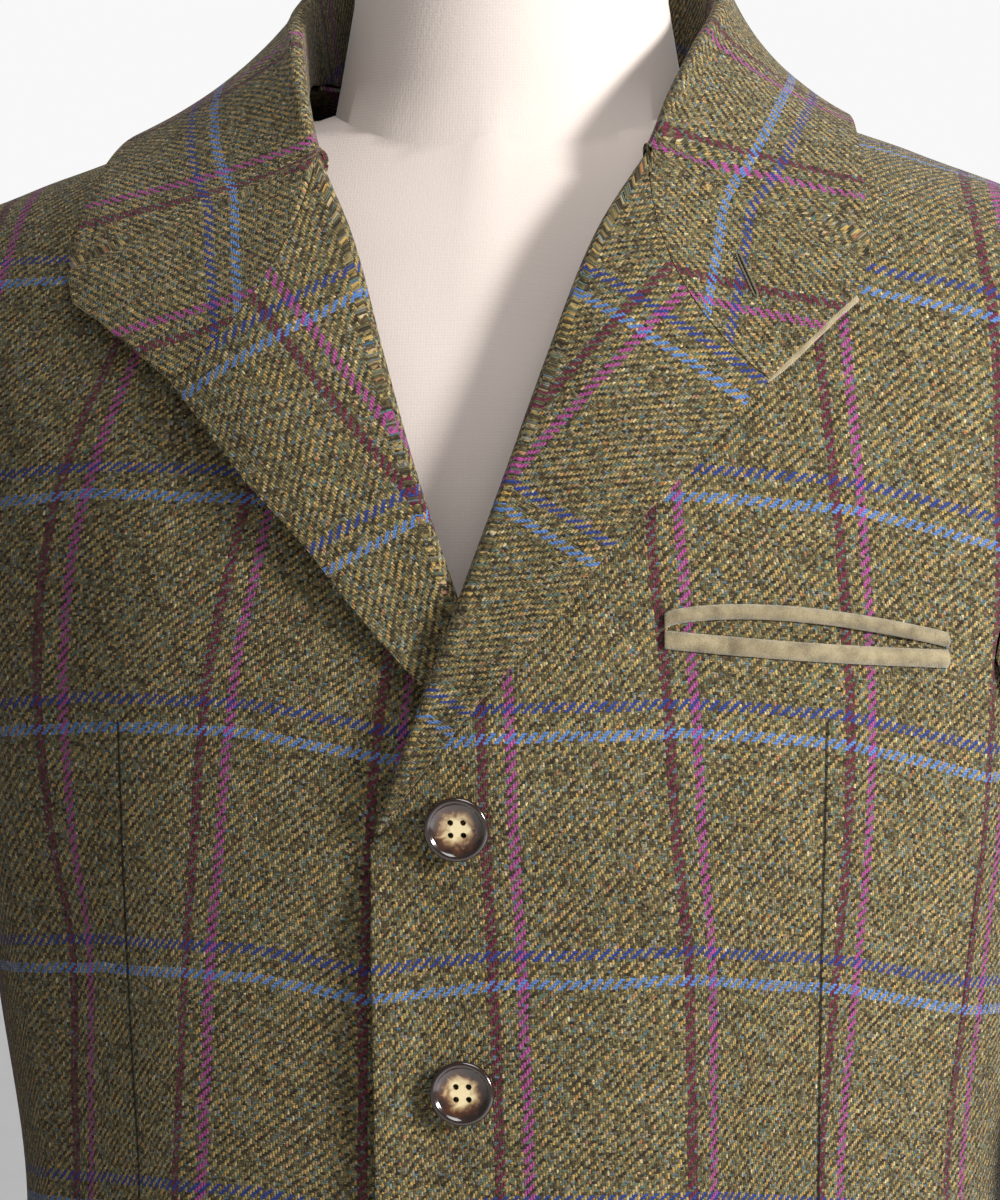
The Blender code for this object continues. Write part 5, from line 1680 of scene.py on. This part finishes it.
# ---------------------------------------------------------------- pockets
@dataclass(frozen=True)
class BreastPocket:
    """Two curved moleskin jets whose slit gapes a little over the facing."""

    x: Pair = (0.0725, 0.1690)
    z: Pair = (1.2815, 1.2745)
    sag: float = 0.0008
    gape: float = 0.0065
    depth: float = 0.0014
    lower: float = 0.0070
    upper: float = 0.0058
    thick: float = 0.0024
    fluff: float = 0.00012
    clear: float = 0.0003
    steps: int = 60
    profile: tuple[float, ...] = (0.30, 0.62, 0.86, 0.98, 1.0, 0.98, 0.86, 0.62, 0.30)

    def lip(self, share: float) -> float:
        """Height of the slit's lower lip."""
        return mix(*self.z, share) - self.sag * math.sin(math.pi * share)

    def open(self, share: float) -> float:
        """How far the slit gapes."""
        return self.gape * max(math.sin(math.pi * share**0.85), 0.0) ** 0.8

    def sink(self, x: float, z: float, side: Side) -> float:
        """How far the facing lies back in the slit."""
        share = (x - self.x[0]) / (self.x[1] - self.x[0])
        if side is Side.RIGHT or not 0.0 < share < 1.0:
            return 0.0
        low, gape = self.lip(share), self.open(share)
        inside = smooth(-0.001, 0.0012, z - low) * smooth(-0.001, 0.0012, low + gape - z)
        return self.depth * inside * smooth(0.0, 0.08, share) * smooth(1.0, 0.92, share)

    def strip(self, place: str, low: Callable, high: Callable) -> None:
        """Lay one padded jet between two heights given by a share."""
        rows = []
        for across, pad in zip(even(len(self.profile) - 1), self.profile):
            row = []
            for share in even(self.steps):
                x, z = mix(*self.x, share), mix(low(share), high(share), across)
                fluff = self.fluff * ripple(x, z, (260, 260), 0.0)
                top = CUT.on_front(x, z, Side.LEFT, self.clear + self.thick * pad + fluff)
                row.append((top, CUT.on_front(x, z, Side.LEFT, self.clear), (top.x, top.z)))
            rows.append(row)
        Shell(f"moleskin_jet_{place}", MOLESKIN, (f"welt_{place}",), *laid_out(rows),
              held="folded", rests_on=("front_left",), soft_edge=0.0004).build()

    def build(self) -> None:
        """Build both jets."""
        gap = CUT.seam_gap
        self.strip("lower", lambda s: self.lip(s) - self.lower, lambda s: self.lip(s) - gap)
        self.strip("upper", lambda s: self.lip(s) + self.open(s) + gap,
                   lambda s: self.lip(s) + self.open(s) + self.upper)


POCKET = BreastPocket()


@dataclass
class HipFlaps:
    """Slanted flaps over the hip pockets, with rounded corners and a stitched edge."""

    x: Pair = (0.070, 0.176)
    z: Pair = (0.968, 0.928)
    drop: float = 0.055
    rounding: float = 0.16
    clear: float = 0.0007
    columns: int = 50
    rows: int = 26

    def lay(self, side: Side) -> list:
        """Outer and inner points, cloth and edge maps of a flap."""
        line = Vector((self.x[1] - self.x[0], self.z[1] - self.z[0]))
        down = Vector((line.y, -line.x)).normalized()
        rows = []
        for fall in reversed(crowded(self.rows, 1.1)):
            row = []
            for share in crowded(self.columns, 1.3):
                end = min(share, 1 - share)
                rounded = 1 - self.rounding * (1 - smooth(0.0, 0.10, end)) * fall**2
                place = Vector((self.x[0], self.z[0])) + line * share
                x, z = place + down * self.drop * fall * rounded
                hang = self.drop * (1 - fall) * rounded
                edge = (min(hang, end * line.length), share * line.length)
                row.append((CUT.on_front(x, z, side, self.clear + CUT.cloth),
                            CUT.on_front(x, z, side, self.clear), CHECK.front(x, z, side), edge))
            rows.append(row)
        return laid_out(rows)

    def build(self) -> None:
        """Build both flaps."""
        sew_pair("flap", self.lay, "front")


# ---------------------------------------------------------------- buttons
def turn_on_lathe(name: str, profile: Sequence[Pair], sides: int) -> bpy.types.Object:
    """Turn a profile round the Z axis, ring by ring, and close both ends.

    Args:
        name: The object's name.
        profile: Radius and height of each ring, from the bottom up.
        sides: Number of sides.

    Returns:
        The closed object, selected and active.
    """
    bpy.ops.object.select_all(action="DESELECT")
    bpy.ops.mesh.primitive_circle_add(
        vertices=sides, radius=profile[0][0], fill_type="NGON", location=(0.0, 0.0, 0.0))
    thing = bpy.context.active_object
    thing.name = name
    thing.data.name = name
    bpy.ops.object.mode_set(mode="EDIT")
    bpy.ops.mesh.select_all(action="SELECT")
    bpy.ops.transform.translate(value=(0.0, 0.0, profile[0][1]))
    for (radius, z), (next_radius, next_z) in zip(profile, profile[1:]):
        bpy.ops.mesh.extrude_region_move(
            TRANSFORM_OT_translate={"value": (0.0, 0.0, next_z - z)})
        factor = next_radius / radius
        bpy.ops.transform.resize(value=(factor, factor, 1.0), center_override=(0.0, 0.0, next_z))
    bpy.ops.mesh.select_all(action="SELECT")
    bpy.ops.mesh.normals_make_consistent(inside=False)
    bpy.ops.object.mode_set(mode="OBJECT")
    return thing


@dataclass
class Buttons:
    """Three four-hole buttons, and the worked buttonholes that show past them."""

    z: tuple[float, ...] = (CUT.button_z, 1.1165, 1.0214)
    sides: int = 72
    hole_sides: int = 20
    hole_radius: float = 0.0011
    hole_offset: float = 0.0023
    shank: float = 0.0007
    seat_reach: float = 0.008
    cloud_step: float = 0.031       # moves the clouds from one button to the next
    slit_x: tuple[float, ...] = (-0.0148, -0.012, -0.008, -0.004, 0.0, 0.004)
    slit_half: float = 0.0011
    slit_lift: float = 0.0001
    profile: tuple[Pair, ...] = (
        (0.0080, 0.0000), (0.0100, 0.0006), (0.0112, 0.0016), (0.01175, 0.0028),
        (0.01165, 0.0036), (0.0113, 0.0042), (0.0107, 0.0045), (0.0101, 0.0044),
        (0.0096, 0.0039), (0.0091, 0.0033), (0.0080, 0.0029), (0.0060, 0.0026), (0.0030, 0.0025),
    )

    def seat(self, z: float) -> Matrix:
        """Place and turn of a button on the left front."""
        step = self.seat_reach
        west, east, south, north = (
            CUT.on_front(dx * step, z + dz * step, Side.LEFT, 0.0)
            for dx, dz in ((-1, 0), (1, 0), (0, -1), (0, 1))
        )
        out = (east - west).cross(north - south).normalized()
        centre = sum((west, east, south, north), Vector()) / 4 + out * self.shank
        return Matrix.Translation(centre) @ out.to_track_quat("Z", "Y").to_matrix().to_4x4()

    def drill(self, button: bpy.types.Object) -> None:
        """Cut the four holes."""
        for sx, sy in ((-1, -1), (-1, 1), (1, -1), (1, 1)):
            bpy.ops.object.select_all(action="DESELECT")
            bpy.ops.mesh.primitive_cylinder_add(
                vertices=self.hole_sides, radius=self.hole_radius, depth=0.02,
                location=(sx * self.hole_offset, sy * self.hole_offset, 0.0))
            combine(button, bpy.context.active_object, operation="DIFFERENCE")

    def build(self) -> None:
        """Build the buttons and buttonholes."""
        for number, z in enumerate(self.z, start=1):
            button = turn_on_lathe(f"horn_button_{number}", self.profile, self.sides)
            self.drill(button)
            mesh = button.data
            for label in [layer.name for layer in mesh.uv_layers]:
                mesh.uv_layers.remove(mesh.uv_layers[label])
            for label, shift in ((CLOTH_MAP, self.cloud_step * number), (EDGE_MAP, 0.0)):
                layer = mesh.uv_layers.new(name=label)
                for loop in mesh.loops:
                    place = mesh.vertices[loop.vertex_index].co
                    layer.data[loop.index].uv = (place.x + shift, place.y)
            mesh.transform(self.seat(z))
            select_only(button)
            bpy.ops.object.shade_smooth_by_angle(angle=math.radians(40))
            finish_piece(button, HornFinish(), (f"button_{number}",))
            slit = [CUT.on_front(x, z, Side.LEFT, self.slit_lift) for x in self.slit_x]
            worked_slit(f"buttonhole_{number}", slit, self.slit_half)


def worked_slit(name: str, line: list[Vector], half_width: float) -> None:
    """Make the thread worked round a slit, as a low flat ring of loops.

    Args:
        name: The piece's name.
        line: Middle line of the slit.
        half_width: Half of the width over the thread.
    """
    curve = bpy.data.curves.new(name, "CURVE")
    curve.dimensions = "3D"
    thread_half, thread_out = half_width * 0.42, half_width * 0.55
    curve.bevel_depth = thread_half
    curve.bevel_resolution = 3
    above, below = [], []
    for i, point in enumerate(line):
        run = (line[min(i + 1, len(line) - 1)] - line[max(i - 1, 0)]).normalized()
        across = run.cross(Vector((0.0, -1.0, 0.0))).normalized() * thread_out
        above.append(point + across)
        below.append(point - across)
    loop = above + below[::-1]
    thread = curve.splines.new("NURBS")
    thread.points.add(len(loop) - 1)
    for target, point in zip(thread.points, loop):
        target.co = (*point, 1.0)
    thread.use_cyclic_u = True
    thread.order_u = 3
    thread.resolution_u = 6
    linked(name, curve)
    bpy.ops.object.convert(target="MESH")
    bpy.ops.object.shade_smooth()
    finish_piece(bpy.context.active_object, ThreadFinish())


# ---------------------------------------------------------------- dress form and stand
@dataclass
class DressForm:
    """Limbless form under the jacket, covered in jersey, with a neck and a flat cap."""

    bottom_z: float = 0.800
    edge: float = 0.012
    edge_levels: Pair = (0.803, 0.815)
    shoulder_rings: int = 24
    last_turn: float = 0.97
    clear: float = 0.012
    seat: float = 0.0008
    armhole_inset: float = 0.006
    waist_top_z: float = 1.260      # the sides bulge up to here and are flat above
    columns: int = 40
    neck_sides: int = 96
    neck: tuple[tuple[float, ...], ...] = (
        (1.430, -0.006, 0.074, 0.066), (1.485, -0.004, 0.064, 0.056),
        (1.515, -0.004, 0.059, 0.053), (1.560, -0.006, 0.057, 0.053),
        (1.604, -0.008, 0.057, 0.053), (1.6075, -0.008, 0.0562, 0.0522),
        (1.6095, -0.008, 0.054, 0.050), (1.610, -0.008, 0.050, 0.046),
    )

    def clearance(self, turn: float, x: float) -> float:
        """Depth of the form under the cloth's outer face."""
        neck_x = TRUNK.neck_side[0]
        shoulder = smooth(0.45, 1.0, turn) * smooth(neck_x, neck_x + 0.035, abs(x))
        return mix(CUT.cloth + self.clear, CUT.cloth + self.seat, shoulder)

    def ring(self, level: float, shrink: float) -> list[Vector]:
        """Ring round the form: the front from right to left, then the back."""
        turn = max(level - TRUNK.chest_z, 0.0)
        ring = []
        for way, back in ((1, False), (-1, True)):
            if level <= self.waist_top_z:
                reach = TRUNK.seam_share * TRUNK.section(level).half_width
            else:
                reach = CUT.armhole_x(max(level, TRUNK.chest_z - 0.001), back) - self.armhole_inset
            for share in even(self.columns):
                x = mix(-reach, reach, share) * way
                ring.append(TRUNK.at(x, level, back, -self.clearance(turn, x) - shrink))
            if level <= self.waist_top_z:
                half = TRUNK.section(level).half_width - CUT.cloth - self.clear - shrink
                ring.append(Vector((way * half, 0, level)))
            else:
                depth = self.clearance(turn, reach) + shrink
                other = TRUNK.at(way * reach, level, not back, -depth)
                ring.append(mix(ring[-1], other, 0.5))
        return ring

    def skinned(self, name: str, rings: Grid, lids: Sequence[Sequence[int]]) -> bpy.types.Object:
        """Make a solid from closed rings and from lids, as numbers of points.

        Args:
            name: The object's name.
            rings: Rings with the same number of points, from the bottom up.
            lids: Faces that close both ends.

        Returns:
            The object.
        """
        count = len(rings[0])
        faces: list[Sequence[int]] = [
            (k * count + i, k * count + j, (k + 1) * count + j, (k + 1) * count + i)
            for k in range(len(rings) - 1) for i, j in zip(range(count), [*range(1, count), 0])
        ]
        mesh = bpy.data.meshes.new(name)
        mesh.from_pydata([point for ring in rings for point in ring], [], [*faces, *lids])
        return linked(name, mesh)

    def build(self) -> None:
        """Build the covered form."""
        rings = [[Vector((p.x, p.y, self.bottom_z)) for p in self.ring(self.bottom_z, self.edge)]]
        for level in (*self.edge_levels, *[0.84 + 0.023 * i for i in range(20)]):
            round_in = 1 - smooth(0.790, self.edge_levels[-1], level)
            rings.append(self.ring(level, self.edge * round_in))
        for share in even(self.shoulder_rings)[1:]:
            rings.append(self.ring(TRUNK.chest_z + self.last_turn * share, 0.0))
        count, wide = len(rings[0]), self.columns
        first = (len(rings) - 1) * count
        behind = first + wide + 2
        lids = [range(count - 1, -1, -1)]
        for i in range(wide):
            lids.append((first + i, first + i + 1, behind + wide - i - 1, behind + wide - i))
        lids.append((first + wide, first + wide + 1, behind))
        lids.append((behind + wide, behind + wide + 1, first))
        torso = self.skinned("covered_form", rings, lids)
        sides = self.neck_sides
        angles = [2 * math.pi * i / sides for i in range(sides)]
        rings = [[Vector((half_width * math.cos(a), y + half_depth * math.sin(a), z)) for a in angles]
                 for z, y, half_width, half_depth in self.neck]
        top = (len(rings) - 1) * sides
        lids = [range(sides - 1, -1, -1), range(top, top + sides)]
        combine(torso, self.skinned("form_neck", rings, lids), operation="UNION", solver="MANIFOLD")
        bpy.ops.object.shade_smooth_by_angle(angle=math.radians(50))
        finish_piece(torso, JerseyFinish(), ("form_torso",))


@dataclass
class Stand:
    """Turned pole and round base."""

    sides: int = 96
    base: tuple[Pair, ...] = (
        (0.171, 0.0), (0.1745, 0.002), (0.175, 0.006), (0.1745, 0.010), (0.170, 0.0132),
        (0.164, 0.0140), (0.158, 0.0145), (0.150, 0.0168), (0.130, 0.0192), (0.090, 0.0208),
        (0.050, 0.0216), (0.024, 0.0220),
    )
    pole: tuple[Pair, ...] = (
        (0.0235, 0.0223), (0.0245, 0.026), (0.0235, 0.030), (0.0190, 0.034), (0.0165, 0.040),
        (0.0160, 0.050), (0.0160, 0.700), (0.0162, 0.760), (0.0185, 0.766), (0.0195, 0.772),
        (0.0185, 0.778), (0.0162, 0.783), (0.0160, 0.7997),
    )

    def build(self) -> None:
        """Build the turned parts."""
        for part, profile in (("base", self.base), ("pole", self.pole)):
            thing = turn_on_lathe(f"turned_{part}", profile, self.sides)
            bpy.ops.object.shade_smooth_by_angle(angle=math.radians(35))
            finish_piece(thing, BeechFinish(), (f"stand_{part}",))


# ---------------------------------------------------------------- studio
@dataclass
class Studio:
    """Pale floor, soft light from the wearer's left, and the camera."""

    turn: float = math.radians(8.0)
    distance: float = 2.63
    aside: float = -0.0049
    height: float = 1.292
    lens: float = 210.0
    sensor: float = 36.0
    aim: tuple[float, ...] = (0.0, 0.0, 1.25)
    lamps: tuple[tuple[str, tuple[float, ...], float, float], ...] = (
        ("key", (2.75, -1.55, 1.95), 0.55, 225.0),
        ("top", (0.5, -0.9, 3.1), 1.2, 33.75),
    )
    fill: float = 0.25              # of the room in front of the jacket
    lit_wall: float = 0.94          # of the lit white wall behind it

    def build(self) -> None:
        """Set up floor, light and camera."""
        bpy.ops.object.select_all(action="DESELECT")
        bpy.ops.mesh.primitive_plane_add(size=60.0, location=(0.0, 0.0, -0.001))
        floor = bpy.context.active_object
        floor.name = "studio_floor"
        floor.data.materials.append(PaintFinish().material())
        world = bpy.data.worlds.new("soft_room")
        bpy.context.scene.world = world
        world.use_nodes = True
        nodes = Nodes(world.node_tree)
        way = nodes.split(nodes.add("TexCoord", {}).outputs["Generated"])
        glow = nodes.fit(way[1], (-0.1, 0.5), (self.fill, self.lit_wall), "SMOOTHSTEP")
        room = world.node_tree.nodes["Background"]
        room.inputs["Color"].default_value = (1.0, 1.0, 1.0, 1.0)
        world.node_tree.links.new(glow.outputs[0], room.inputs["Strength"])
        for name, place, size, strength in self.lamps:
            lamp = bpy.data.lights.new(name, "AREA")
            lamp.size = size
            lamp.energy = strength
            holder = linked(name, lamp)
            holder.location = place
            down = Vector(self.aim) - Vector(place)
            holder.rotation_euler = down.to_track_quat("-Z", "Y").to_euler()
        forward = Vector((-math.sin(self.turn), math.cos(self.turn), 0.0))
        right = Vector((math.cos(self.turn), math.sin(self.turn), 0.0))
        camera = linked("camera", bpy.data.cameras.new("camera"))
        camera.location = -forward * self.distance + right * self.aside
        camera.location.z = self.height
        camera.rotation_euler = forward.to_track_quat("-Z", "Y").to_euler()
        camera.data.lens = self.lens
        camera.data.sensor_width = self.sensor
        bpy.context.scene.camera = camera
        bpy.context.scene.view_settings.view_transform = "Standard"


def main() -> None:
    """Build every sub-assembly in order."""
    logging.basicConfig(level=logging.INFO, format="%(name)s %(message)s")
    Fronts().build()
    SidePanels().build()
    Backs().build()
    Sleeves().build()
    Lapels().build()
    Collar().build(trunk_skin())
    POCKET.build()
    HipFlaps().build()
    Buttons().build()
    DressForm().build()
    Stand().build()
    Studio().build()


if __name__ == "__main__":
    main()
